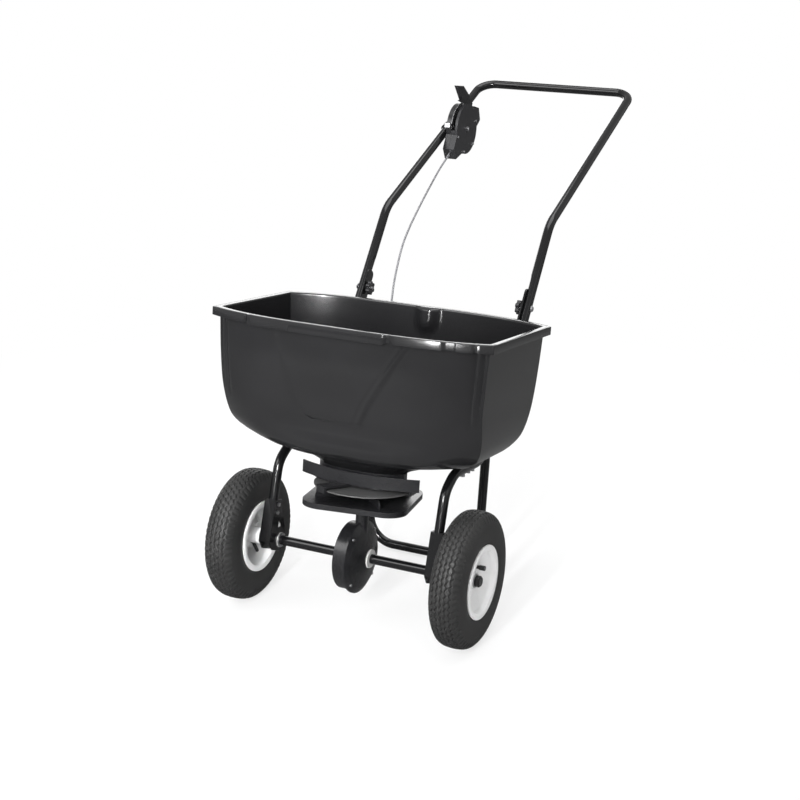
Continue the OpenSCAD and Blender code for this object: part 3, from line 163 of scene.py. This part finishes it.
# What all finishes share: how strongly the broad patches show, the grain's strength and the rounding of edges
surfaceLook = {"patchMiddle": 0.35, "patchContrast": 2.2, "patchRoughness": 0.8, "grainStrength": 0.35,
               "edgeRadius": 0.0008}
finishes = {}


# Two colours in patches, roughness with its spread, grain size and depth, patch size
def finish(name, color, other, roughness, spread, grain, depth, patch=9.0, metallic=0.0, **sockets):
    made = Finish(name, color, roughness, metallic, **sockets)
    broad = made.noise(patch, 4.0, 0.5)
    fine = made.noise(grain, 3.0, 0.6)
    made.colour(color, other, (broad - surfaceLook["patchMiddle"]) * surfaceLook["patchContrast"])
    made.feed("Roughness", (fine - 0.5) * spread + (broad - 0.5) * spread * surfaceLook["patchRoughness"] + roughness)
    made.bump(fine, surfaceLook["grainStrength"], depth, surfaceLook["edgeRadius"])
    finishes[name] = made.material


finish("black_plastic", (0.01, 0.01, 0.011), (0.016, 0.016, 0.018), 0.28, 0.14, 1400, 0.0002)
finish("hopper_plastic", (0.009, 0.009, 0.0095), (0.013, 0.013, 0.014), 0.19, 0.05, 800, 0.00008, 5.0)
finish("grey_plastic", (0.016, 0.016, 0.018), (0.023, 0.023, 0.025), 0.4, 0.12, 1500, 0.0002)
finish("white_plastic", (0.55, 0.55, 0.54), (0.47, 0.47, 0.46), 0.4, 0.1, 1200, 0.0001)
finish("black_paint", (0.004, 0.004, 0.0045), (0.007, 0.007, 0.0075), 0.16, 0.05, 700, 0.00003, 7.0,
       Specular_IOR_Level=0.3, Coat_Weight=0.3, Coat_Roughness=0.07)
finish("steel", (0.55, 0.55, 0.57), (0.42, 0.42, 0.43), 0.3, 0.2, 900, 0.00008, 40.0, 1.0)
finish("zinc_sheet", (0.5, 0.5, 0.51), (0.4, 0.4, 0.41), 0.32, 0.2, 600, 0.00008, 25.0, 1.0)
finish("rubber", (0.014, 0.014, 0.014), (0.02, 0.02, 0.02), 0.6, 0.15, 900, 0.0002)
finish("tyre_rubber", (0.017, 0.017, 0.017), (0.027, 0.0265, 0.026), 0.56, 0.2, 700, 0.0003, 14.0)
finish("rim_paint", (0.8, 0.8, 0.8), (0.73, 0.73, 0.73), 0.36, 0.1, 500, 0.0001, 12.0, Coat_Weight=0.2)
finish("cable_sheath", (0.16, 0.16, 0.17), (0.21, 0.21, 0.22), 0.42, 0.1, 900, 0.0001, 20.0)
# The gate disc's dark grey is painted shade: it stands for the shade under the shroud, not for the disc's own zinc
# sheet finish
finish("gate_painted_shade", (0.06, 0.06, 0.06), (0.09, 0.09, 0.09), 0.5, 0.15, 700, 0.0001)  # the disc under the shroud

slots = {s["node"]: s["material_slot"] for s in frame["record"]["subparts"]}
# Every part gets its slot's finish, except the gate disc, which gets the dark grey of painted shade
for name, node in frame["nodes"].items():
    node.data.materials.clear()
    node.data.materials.append(finishes["gate_painted_shade" if name == "gate_disc" else slots[name]])
print("stage: materials made")


# A piece from its points in metres and its faces; edges bent by more than sharp degrees stay crisp
def meshPiece(name, points, faces, body, material, replaced, sharp=38):
    mesh = bpy.data.meshes.new(name)
    bm = bmesh.new()
    verts = [bm.verts.new(p) for p in points]
    for f in faces:
        bm.faces.new([verts[i] for i in f])
    bmesh.ops.recalc_face_normals(bm, faces=bm.faces)
    for f in bm.faces:
        f.smooth = True
    for e in bm.edges:
        if len(e.link_faces) == 2 and e.calc_face_angle() > math.radians(sharp):
            e.smooth = False
    bm.to_mesh(mesh)
    bm.free()
    piece = bpy.data.objects.new(name, mesh)
    bpy.context.scene.collection.objects.link(piece)
    mesh.materials.append(finishes[material])
    if body:
        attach(piece, body)
    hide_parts(replaced)
    return piece


# Faces between rings of points; the rings close on themselves, or else both ends get a cap
def loftFaces(rings, around, closed=False):
    faces = []
    for k in range(rings if closed else rings - 1):
        here, following = k * around, (k + 1) % rings * around
        for j in range(around):
            beside = (j + 1) % around
            faces.append((here + j, here + beside, following + beside, following + j))
    if not closed:
        faces.append(tuple(range(around)))
        faces.append(tuple((rings - 1) * around + j for j in range(around)))
    return faces


# A line through corners, each rounded to its radius
def routeOf(corners, radii, steps):
    p = [Vector(q) for q in corners]
    out = [p[0]]
    for i in range(1, len(p) - 1):  # d1 and d2 run in and out of a corner, c is its arc's middle
        d1, d2 = (p[i] - p[i - 1]).normalized(), (p[i + 1] - p[i]).normalized()
        t = d1.angle(d2)
        c = p[i] + (d2 - d1).normalized() * radii[i] / math.cos(t / 2)
        e = (p[i] - d1 * radii[i] * math.tan(t / 2) - c).normalized()
        out += [c + radii[i] * (e * math.cos(k * t / steps) + d1 * math.sin(k * t / steps)) for k in range(steps + 1)]
    return out + [p[-1]]


# Points of rings carried along a route without twisting
def sweep(route, ringOf, around):
    points, n = [], Vector((1, 0, 0))
    for k, q in enumerate(route):
        before = (q - route[k - 1] if k else route[1] - q).normalized()
        after = (route[k + 1] - q).normalized() if k < len(route) - 1 else before
        along = (before + after).normalized()
        n = (n - along * n.dot(along)).normalized()
        other = along.cross(n)
        for j in range(around):
            a, b = ringOf(k, 2 * math.pi * j / around)
            points.append(q + n * a + other * b)
    return points


def circleRing(r):
    return lambda k, angle: (r * math.cos(angle), r * math.sin(angle))


# Tubes, in millimetres of the leaning frame; t runs up the legs from the fold line
legs = {"u": 394, "w": 545, "slope": 60.4}
legDir = Vector((0, math.cos(math.radians(legs["slope"])), math.sin(math.radians(legs["slope"]))))
handle = {"x": 216, "start": -38, "kinkFrom": 72, "kinkTo": 84, "legEnd": 221, "gripU": 1064, "gripW": 1050,
          "bends": [0, 1, 1, 90, 45, 45, 90, 1, 1, 0], "flatLow": 209.8, "flatHigh": 205.0, "flatFrom": 66,
          "flatOver": 14, "reach": 450}
frameTube = {"x": 207, "path": [(-24.08, 58), (1, 184), (45, 216), (207.1, 216)], "bends": [0, 55, 60, 80, 0]}
flatEnd = {"start": -80, "blend": 36, "half": 17, "thick": 2.5, "corner": 0.22, "roundFrom": 34, "roundOver": 12,
           "roundBy": 11, "steps": [-74, -68, -62, -56, -50, -44, 0, 34, 37, 40, 42, 44, 45.4, 46]}
stand = {"x": 148, "front": 118, "back": 378, "top": 216, "foot": -85.3, "bends": [0, 50, 68, 68, 50, 0]}
tubeMesh = {"around": 32, "bendSteps": 12, "standSteps": 14}


def legPoint(x, t):
    return Vector((x, legs["u"] + legDir.y * t, legs["w"] + legDir.z * t))


def tubePiece(name, points, body, node):
    around = tubeMesh["around"]
    faces = loftFaces(len(points) // around, around)
    return meshPiece(name, [place(*p) for p in points], faces, body, "black_paint", node)


def handlePiece():
    corners = []
    for x in (-handle["x"], handle["x"]):
        side = [legPoint(x, handle[key]) for key in ("start", "kinkFrom", "kinkTo", "legEnd")]
        side.append(Vector((x, handle["gripU"], handle["gripW"])))
        corners += side if x < 0 else side[::-1]
    route = routeOf(corners, handle["bends"], tubeMesh["bendSteps"])
    points = sweep(route, circleRing(machine["tubeR"]), tubeMesh["around"])
    for p in points:  # the lower ends are pressed flat on the inside
        t = (p - legPoint(0, 0)).dot(legDir)
        if t < handle["flatFrom"] + handle["flatOver"] and p.y < handle["reach"]:
            share = soft((t - handle["flatFrom"]) / handle["flatOver"])
            p.x = math.copysign(max(abs(p.x), lerp(handle["flatLow"], handle["flatHigh"], share)), p.x)
    return tubePiece("handle_tube", points, "handle_set", "handle")


# The frame tube's section: round, then pressed flat, with a rounded end; t is None on the round part
def frameRing(ts):
    def ring(k, angle):
        t, tubeR = ts[k], machine["tubeR"]
        c, s = math.cos(angle), math.sin(angle)
        flat = soft((t - flatEnd["start"]) / flatEnd["blend"]) if t is not None else 0
        power = lerp(1.0, flatEnd["corner"], flat)
        wide = lerp(tubeR, flatEnd["half"], flat)
        if t is not None and t > flatEnd["roundFrom"]:
            share = (t - flatEnd["roundFrom"]) / flatEnd["roundOver"]
            wide = flatEnd["half"] - flatEnd["roundBy"] * (1 - math.sqrt(max(0, 1 - share ** 2)))
        thick = lerp(tubeR, flatEnd["thick"], flat)
        return thick * math.copysign(abs(c) ** power, c), wide * math.copysign(abs(s) ** power, s)
    return ring


def framePiece(side, node):
    x = frameTube["x"] * side
    corners = [(x, u, w) for u, w in frameTube["path"]] + [legPoint(x, flatEnd["start"])]
    low = routeOf(corners, frameTube["bends"], tubeMesh["bendSteps"])
    route = low + [legPoint(x, t) for t in flatEnd["steps"]]
    ts = [None] * (len(low) - 1) + [flatEnd["start"]] + flatEnd["steps"]
    return tubePiece(node + "_skin", sweep(route, frameRing(ts), tubeMesh["around"]), "chassis", node)


def standPiece():
    leg = [(stand["front"], stand["top"]), (stand["back"], stand["top"]), (stand["back"], stand["foot"])]
    corners = [(-stand["x"], u, w) for u, w in leg] + [(stand["x"], u, w) for u, w in leg[::-1]]
    route = routeOf(corners, stand["bends"], tubeMesh["standSteps"])
    return tubePiece("stand_tube", sweep(route, circleRing(machine["tubeR"]), tubeMesh["around"]), "chassis", "stand")


handlePiece()
framePiece(-1, "left_frame_tube")
framePiece(1, "right_frame_tube")
standPiece()
print("stage: tubes made")

# Cable: from the control to the bracket under the cross bar, about 1.02 m of sheath
cable = {"radius": 2.5, "around": 16, "steps": 8, "low": (-150, 400, 470), "high": (-165, 480, 610),
         "route": [(-188, 794.3, 854.8), (-188, 748, 824), (-185, 687, 781), (-180, 621, 735), (-174, 556, 687),
                   (-168, 507, 644), (-162, 470, 592), (-156, 444, 550), (-150, 426, 516), (-142, 396, 440),
                   (-132, 350, 350), (-122, 290, 262), (-114, 220, 200), (-111, 160, 172), (-111, 122, 170.5),
                   (-111, 104, 170.5)]}


def spline(p, i, t):
    a, b, c, d = (Vector(p[max(0, min(len(p) - 1, j))]) for j in (i - 1, i, i + 1, i + 2))
    return 0.5 * (2 * b + t * (c - a) + t * t * (2 * a - 5 * b + 4 * c - d) + t ** 3 * (3 * b - 3 * c + d - a))


def cablePiece():
    p, steps, around = cable["route"], cable["steps"], cable["around"]
    route = [spline(p, i, k / steps) for i in range(len(p) - 1) for k in range(steps)] + [Vector(p[-1])]
    points = [place(*q) for q in sweep(route, circleRing(cable["radius"]), around)]
    faces = loftFaces(len(route), around)
    piece = meshPiece("cable_sheath_tube", points, faces, None, "cable_sheath", "control_cable")
    tuple(place(*cable["low"]))
    tuple(place(*cable["high"]))
    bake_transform(piece)


cablePiece()
print("stage: cable made")

# Hopper: rings of one outline, from the throat up, over the turned-out lip and down the inside.
# A level is height, half width, half depth, the straight part of that depth, and the middle's place backwards.
hopper = {"levels": [(205, 105, 48, 8, 14), (213, 118, 58, 8, 18), (222, 150, 76, 8, 28), (231, 186, 84, 12, 32),
                     (240, 230, 130, 34, 37), (250, 262, 150, 60, 45), (265, 285, 165, 90, 53),
                     (285, 300, 172, 112, 59), (304, 307, 176, 124, 62), (338, 312, 186, 138, 64),
                     (380, 314, 193, 151, 65), (445, 318, 204, 156, 65), (500, 321, 209, 157, 65),
                     (537, 323, 212, 157, 65)],
          "top": 537, "wallTop": 530, "wall": 3.5, "floorRise": 60, "floorTop": 320, "arc": 84, "straight": 8,
          "squareness": 3.5, "sharp": 34}
# The shield on the front wall: half widths by height on each side, and the groove inside its edge
shield = {"left": [(327, 70), (341, 94), (365, 113), (415, 130), (479, 147), (540, 164)],
          "right": [(327, 52), (345, 60), (376, 74), (425, 105), (479, 139), (540, 180)],
          "from": 322, "foot": 327, "rise": 12, "deep": 4.0, "edge": 5, "groove": 1.6, "insetLeft": 7,
          "insetRight": 17, "grooveFrom": -3, "grooveTo": 4, "grooveEdge": 3.5, "fadeFrom": 525, "fadeOver": 12}
pocket = {"x": 18, "w": 506, "half": 36, "deep": 17, "flank": 1.25, "topFade": 10, "topShare": 0.4}
grooves = {"deep": 2.6, "from": 286, "to": 530, "edge": 8, "first": (0.912, 0.938), "second": (0.968, 0.992),
           "shareEdge": 0.012, "behind": 150, "behindFade": 8}
# The skirt: a wide raised band in front, with notches and small blocks beside it; a notch is from, to, edge
skirt = {"band": (-221, 112, 3), "notches": [(113, 129, 3), (-230, -222, 3), (236, 262, 3), (296, 304, 2)],
         "notchDeep": 3.4, "bandOut": 1.0, "bandDrop": 3.0, "notchRise": 2.0, "behind": 150, "fromGrow": 8,
         "rings": [(532.6, 0.4, 0), (533.5, 2, 0), (533.5, 8.0, 0), (532.6, 8.5, 0), (519, 8.5, 1), (518, 9, 1),
                   (518, 11.6, 1), (518.6, 12, 1), (534.6, 12, 0), (536.2, 11.6, 0), (537, 10.4, 0), (537, -0.8, 0)]}


# A smooth curve through the levels, so the shell bends without creases
def levelAt(w):
    p = hopper["levels"]
    i = max(0, min(len(p) - 2, sum(1 for q in p if q[0] <= w) - 1))
    h = p[i + 1][0] - p[i][0]
    t = (w - p[i][0]) / h
    out = [w]
    for k in range(1, 5):
        slopes = []
        for j in (i, i + 1):
            lo, hi = p[max(0, j - 1)], p[min(len(p) - 1, j + 1)]
            slopes.append((hi[k] - lo[k]) / (hi[0] - lo[0]) * h)
        a, b = p[i][k], p[i + 1][k]
        ends = (2 * t ** 3 - 3 * t * t + 1) * a + (3 * t * t - 2 * t ** 3) * b
        out.append(ends + (t ** 3 - 2 * t * t + t) * slopes[0] + (t ** 3 - t * t) * slopes[1])
    return out


# Straight ends of half depth c, and long arcs that crown to half depth b in the middle
def outline(a, b, c):
    straight, arc = hopper["straight"], hopper["arc"]
    quarter = [(a, c * i / straight) for i in range(straight)]
    for i in range(arc + 1):
        share = i / arc
        quarter.append((a * (1 - share), c + (b - c) * (1 - (1 - share) ** hopper["squareness"])))
    half = quarter + [(-x, y) for x, y in quarter[-2::-1]]
    return half + [(-x, -y) for x, y in half[1:-1]]


def band(v, lo, hi, edge):
    return soft((v - lo) / edge) * soft((hi - v) / edge)


def between(points, w):
    for lo, hi in zip(points, points[1:]):
        if w <= hi[0]:
            return lerp(lo[1], hi[1], (w - lo[0]) / (hi[0] - lo[0]))
    return points[-1][1]


def shieldPush(x, w):
    half = between(shield["left" if x < 0 else "right"], max(w, shield["foot"]))
    inside, inset = half - abs(x), shield["insetLeft" if x < 0 else "insetRight"]
    start, end = inset + shield["grooveFrom"], inset + shield["grooveTo"]
    groove = shield["groove"] * band(inside, start, end, shield["grooveEdge"])
    return soft((w - shield["from"]) / shield["rise"]) * (shield["deep"] * soft(inside / shield["edge"]) - groove)


def pocketPush(x, w):
    off = abs(x - pocket["x"]) if w > pocket["w"] else math.hypot(x - pocket["x"], w - pocket["w"])
    top = soft((hopper["top"] - w) / pocket["topFade"] + pocket["topShare"])
    return pocket["deep"] * soft(pocket["flank"] * (1 - off / pocket["half"])) * top


def cornerGrooves(x, w):
    share, edge = abs(x) / levelAt(w)[1], grooves["shareEdge"]
    both = band(share, *grooves["first"], edge) + band(share, *grooves["second"], edge)
    return grooves["deep"] * band(w, grooves["from"], grooves["to"], grooves["edge"]) * both


def hopperRing(w, grow, lift, outer):
    _, a, b, c, middle = levelAt(w)
    fade = 1 if w < shield["fadeFrom"] else soft((hopper["top"] - w) / shield["fadeOver"])
    ring = []
    for x, y in outline(a + grow, b + grow, c + grow):
        if y < 0:
            y -= shieldPush(x, min(w, hopper["wallTop"])) * fade
            if outer:
                y += cornerGrooves(x, w) * soft((-y - grooves["behind"]) / grooves["behindFade"])
        else:
            y -= pocketPush(x, w)
        ring.append((x, y + middle, w + lift))
    return ring


def skirtRing(w, grow, lowEdge):
    _, a, b, c, middle = levelAt(hopper["top"])
    ring = []
    for x, y in outline(a + grow, b + grow, c + grow):
        height = w
        if y < -skirt["behind"] and grow > skirt["fromGrow"]:
            raised = band(x, *skirt["band"])
            gap = sum(band(x, *notch) for notch in skirt["notches"])
            y += skirt["notchDeep"] * gap - skirt["bandOut"] * raised
            height -= lowEdge * (skirt["bandDrop"] * raised - skirt["notchRise"] * gap)
        ring.append((x, y + middle, height))
    return ring


def hopperPiece():
    heights = [205, 209, 213, 218, 224, 231, 239, 246, 254, 262, 270, 278, 285, 290, 294, 299, 304, 309, 314, 318, 322]
    heights += [325] + [327 + 2 * k for k in range(6)] + [340 + 6 * k for k in range(31)] + [523, 526, 528, 530]
    wall = hopper["wall"]
    rings = [hopperRing(w, 0, 0, True) for w in heights]
    rings += [skirtRing(*r) for r in skirt["rings"]]
    rings += [hopperRing(w, grow, 0, False) for w, grow in ((536.4, -2.6), (534, -wall), (532, -wall))]
    for w in heights[::-1]:
        lift = wall * soft((hopper["floorTop"] - w) / hopper["floorRise"])  # the sloping floor keeps its thickness
        rings.append(hopperRing(w, -wall, lift, False))
    points = [place(*p) for r in rings for p in r]
    faces = loftFaces(len(rings), len(rings[0]), True)
    return meshPiece("hopper_shell", points, faces, "chassis", "hopper_plastic", "hopper", hopper["sharp"])


hopperPiece()
print("stage: hopper made")

# Wheels: sections turned about the axle; r outwards and z along it from the wheel's middle, in millimetres
wheel = {"x": 276.5, "seat": 73, "halfTyre": 37}


def wheelPoint(side, r, z, angle):
    up = machine["wheelR"] + r * math.sin(angle)
    return Vector((side * (wheel["x"] + z) / 1000, r * math.cos(angle) / 1000, up / 1000))


# Tyre: an arched section as shares of its height and half width, with zig-zag grooves in the tread
tyre = {"segments": 504, "teeth": 63, "sharp": 50, "treadFrom": 134, "grooveDeep": 3.0,
        "grooves": (-20, -10, 0, 10, 20), "wave": 2.2, "grooveHalf": 1.9, "grooveEdge": 0.9,
        "shoulderFrom": 26, "shoulderTo": 36.6, "shoulderFade": (1.2, 1.5), "lugFrom": 0.25, "lugEdge": 0.3,
        "step": 1.15, "fineFrom": 0.74,
        "shape": [(0, 0.797), (0.06, 0.825), (0.126, 0.851), (0.145, 0.885), (0.164, 0.919), (0.22, 0.955),
                  (0.277, 0.984), (0.36, 0.996), (0.44, 1), (0.53, 0.998), (0.616, 0.986), (0.7, 0.955),
                  (0.767, 0.919), (0.83, 0.865), (0.881, 0.797), (0.93, 0.70), (0.962, 0.595), (0.980, 0.47),
                  (0.991, 0.324), (0.997, 0.17), (1, 0)]}


def tyreProfile():
    out, half = [], wheel["halfTyre"]
    for (f1, h1), (f2, h2) in zip(tyre["shape"], tyre["shape"][1:]):
        n = 1 if f1 < tyre["fineFrom"] else max(1, round(abs(h1 - h2) * half / tyre["step"]))
        out += [(lerp(f1, f2, k / n), lerp(h1, h2, k / n)) for k in range(n)]
    deep = machine["wheelR"] - wheel["seat"]
    side = [(wheel["seat"] + deep * f, half * h) for f, h in out]
    return side + [(machine["wheelR"], 0.0)] + [(r, -z) for r, z in side[::-1]]


def zigzag(angle, count):
    v = (angle * count / (2 * math.pi)) % 1
    return 4 * abs(v - 0.5) - 1


def treadCut(r, z, angle):
    if r <= tyre["treadFrom"]:
        return 0.0
    teeth, cut = tyre["teeth"], 0.0
    for i, middle in enumerate(tyre["grooves"]):
        off = abs(z - middle - tyre["wave"] * zigzag(angle + i * math.pi / teeth, teeth))
        cut = max(cut, soft((tyre["grooveHalf"] - off) / tyre["grooveEdge"]))
    inner, outer = tyre["shoulderFade"]
    shoulder = soft((abs(z) - tyre["shoulderFrom"]) / inner) * soft((tyre["shoulderTo"] - abs(z)) / outer)
    return max(cut, shoulder * soft((zigzag(angle, teeth) - tyre["lugFrom"]) / tyre["lugEdge"]))


def tyrePiece(side, body, node):
    profile, segments, points = tyreProfile(), tyre["segments"], []
    for k in range(segments):
        angle = 2 * math.pi * k / segments
        points += [wheelPoint(side, r - tyre["grooveDeep"] * treadCut(r, z, angle), z, angle) for r, z in profile]
    n, faces = len(profile), []
    for k in range(segments):
        for j in range(n - 1):  # open towards the rim
            a, b = k * n + j, (k + 1) % segments * n + j
            faces.append((a, b, b + 1, a + 1))
    return meshPiece(node + "_tread", points, faces, body, "tyre_rubber", node, tyre["sharp"])


tyrePiece(-1, "free_wheel", "left_tyre")
tyrePiece(1, "axle", "right_tyre")
print("stage: tyres made")

# Rim: a revolved barrel and dish. The dish rises outwards from the hub by dishRise over dishOver; its front has
# fan-shaped swellings with a crease between each two, and its back swellings with deeper ribs between them.
rim = {"segments": 288, "sharp": 32, "hubIn": -36.5, "hubOut": 17.0, "bore": 11.0, "hubR": 19, "dishRise": 12,
       "dishOver": 49.7, "frontBase": 12, "backBase": 8, "frontFans": 8, "frontTwist": 0.25, "frontSwell": 0.9,
       "frontCrease": 0.8, "frontCreaseHalf": 0.1, "backFans": 12, "backTwist": 0.5, "backSwell": 2.0,
       "backSwellAt": 0.45, "backSwellHalf": 0.34, "backSwellEdge": 0.2, "backSwellDrift": (0.2, 40, 20),
       "ribDeep": 9.0, "ribHalf": 0.11, "ribEdge": 0.05, "ribTo": 67.9, "ribFades": (3, 4),
       "reliefFrom": 20, "reliefTo": 66.5, "reliefFades": (10, 8)}


def rimProfile():
    hubIn, hubOut, bore = rim["hubIn"], rim["hubOut"], rim["bore"]
    slope = rim["dishRise"] / rim["dishOver"]
    front = [(bore, hubOut - 0.6), (bore + 0.6, hubOut), (18.2, hubOut), (19, hubOut - 0.8), (19.2, 13.2), (20.6, 12.4)]
    front += [(r, rim["frontBase"] + slope * (r - rim["hubR"])) for r in (24, 29, 34, 39, 44, 49, 54, 58, 61, 63.5)]
    front += [(65.8, 23.9), (67.6, 25.2), (68.7, 27.6), (68.7, 34.6), (69.3, 36.3), (70.6, 37), (81.6, 37),
              (82.7, 36.5), (83, 35.4), (83, 33.4), (82.4, 32.5), (80, 32.2), (74, 31.6), (72.7, 31)]
    back = [(72.7, -31), (74, -31.6), (80, -32.2), (82.4, -32.5), (83, -33.4), (83, -35.4), (82.7, -36.5),
            (81.6, -37), (70.6, -37), (69.3, -36.3), (68.7, -34.6), (68.7, 13), (68.0, 16.5), (65.8, 18.9)]
    back += [(r, rim["backBase"] + slope * (r - rim["hubR"])) for r in (62.5, 58, 54, 49, 44, 39, 34, 29, 24)]
    back += [(20.4, 8.0), (19.2, 6.4), (19, -35.7), (18.2, hubIn), (bore + 0.6, hubIn), (bore, hubIn + 0.6)]
    return front, back


def fan(angle, r, count, twist):
    v = (angle * count / (2 * math.pi) + twist * (r - rim["hubR"]) / 50) % 1
    return abs(v - 0.5) * 2


def frontRelief(r, angle):
    across = fan(angle, r, rim["frontFans"], rim["frontTwist"])
    crease = soft((rim["frontCreaseHalf"] - across) / rim["frontCreaseHalf"])
    return rim["frontSwell"] * soft(across) - rim["frontCrease"] * crease


def backRelief(r, angle, edge):
    across = fan(angle, r, rim["backFans"], rim["backTwist"])
    drift, driftFrom, driftOver = rim["backSwellDrift"]
    off = abs(across - rim["backSwellAt"] - drift * soft((r - driftFrom) / driftOver))
    swell = soft((rim["backSwellHalf"] - off) / rim["backSwellEdge"])
    inner, outer = rim["ribFades"]
    ends = soft((r - rim["hubR"]) / inner) * soft((rim["ribTo"] - r) / outer)
    return rim["backSwell"] * edge * swell - rim["ribDeep"] * ends * soft((rim["ribHalf"] - across) / rim["ribEdge"])


def rimPiece(side, body, node):
    front, back = rimProfile()
    profile, segments, points = front + back, rim["segments"], []
    inner, outer = rim["reliefFades"]
    for k in range(segments):
        angle = 2 * math.pi * k / segments
        for i, (r, z) in enumerate(profile):
            edge = soft((r - rim["reliefFrom"]) / inner) * soft((rim["reliefTo"] - r) / outer)
            if edge > 0:
                z += edge * frontRelief(r, angle) if i < len(front) else backRelief(r, angle, edge)
            points.append(wheelPoint(side, r, z, angle))
    faces = loftFaces(segments, len(profile), True)
    return meshPiece(node + "_dish", points, faces, body, "rim_paint", node, rim["sharp"])


rimPiece(-1, "free_wheel", "left_rim")
rimPiece(1, "axle", "right_rim")
print("stage: rims made")

# Floor and background: the camera sees them white, and the glossy surfaces see a darker floor with a bright spot
studio = {"floorHalf": 30, "floorDrop": 0.001, "floorColor": 0.93, "mirrored": 0.2, "mirrorShare": 0.96,
          "spotAt": (1.0, 2.1, 0), "spotFade": 0.58, "spotShare": 0.45, "whiteShare": 0.7, "whiteFar": 0.3,
          "farFrom": 0.6, "farRise": 0.6, "skyLight": 0.5}


def makeFloor():
    half, low = studio["floorHalf"], -studio["floorDrop"]
    mesh = bpy.data.meshes.new("floor")
    corners = [(-half, -half, low), (half, -half, low), (half, half, low), (-half, half, low)]
    mesh.from_pydata(corners, [], [(0, 1, 2, 3)])
    floor = bpy.data.objects.new("floor", mesh)
    bpy.context.scene.collection.objects.link(floor)
    made = Finish("floor", (studio["floorColor"],) * 3, 0.9)
    mesh.materials.append(made.material)
    seen = made.node("ShaderNodeLightPath")
    glossy = made.node("ShaderNodeLightPath", out=3)
    far = made.node("ShaderNodeVectorMath", {"operation": "LENGTH"}, 1, Vector=made.coords())
    moved = made.node("ShaderNodeMapping", Vector=made.coords(), Location=studio["spotAt"])
    spotDistance = made.node("ShaderNodeVectorMath", {"operation": "LENGTH"}, 1, Vector=moved)
    spot = (1 - spotDistance * studio["spotFade"]).clamp()
    dark = made.node("ShaderNodeBsdfDiffuse", Color=(*(studio["mirrored"],) * 3, 1))
    glow = made.node("ShaderNodeEmission")
    own = Shader(made.tree, made.surface.outputs[0])
    lit = addNode(made.tree, "ShaderNodeMixShader", {}, 0,
                  {0: glossy * (studio["mirrorShare"] - spot * studio["spotShare"]), 1: own, 2: dark})
    beyond = ((far - studio["farFrom"]) * studio["farRise"]).clamp()
    whiteness = seen * beyond * studio["whiteFar"] + seen * studio["whiteShare"]
    white = addNode(made.tree, "ShaderNodeMixShader", {}, 0, {0: whiteness, 1: lit, 2: glow})
    made.tree.links.new(white.socket, made.tree.nodes["Material Output"].inputs[0])


def makeSky():
    world = bpy.data.worlds.new("world")
    bpy.context.scene.world = world
    world.use_nodes = True
    tree = world.node_tree
    light = tree.nodes["Background"]
    light.inputs[0].default_value = (1, 1, 1, 1)
    light.inputs[1].default_value = studio["skyLight"]
    white = addNode(tree, "ShaderNodeBackground", {}, 0, {0: (1, 1, 1, 1), 1: 1.0})
    seen = addNode(tree, "ShaderNodeLightPath", {}, 0, {})
    sockets = {0: seen, 1: Shader(tree, light.outputs[0]), 2: white}
    mix = addNode(tree, "ShaderNodeMixShader", {}, 0, sockets)
    tree.links.new(mix.socket, tree.nodes["World Output"].inputs[0])


makeFloor()
makeSky()
print("stage: floor and background made")

# Lamps: place, aim, size in metres, watts and spread in degrees
lamps = {"key": ((-2.2, -2.6, 3.4), (0, 0.2, 0.4), (2.2, 2.2), 70, 180),
         "side": ((3.4, -1.0, 2.6), (0, 0.2, 0.4), (1.6, 1.6), 7, 180),
         "top": ((0.2, 0.8, 4.0), (0, 0.3, 0.4), (3.0, 3.0), 80, 180),
         "strip": ((0.17, -2.6, 1.7), (-0.25, 0.2, 0.7), (0.16, 1.1), 13, 60),
         "second_strip": ((0.69, -2.5, 1.7), (-0.25, 0.2, 0.7), (0.26, 1.1), 5, 60),
         "back": ((-1.7, 3.6, 1.0), (0, 0.2, 0.5), (3.0, 1.4), 32, 180)}
for name, (at, to, size, watts, spread) in lamps.items():
    data = bpy.data.lights.new(name, "AREA")
    data.shape = "RECTANGLE"
    data.size, data.size_y = size
    data.energy = watts
    data.spread = math.radians(spread)
    aim(bpy.data.objects.new(name, data), at, to)
print("stage: light made")

print("stage: done")
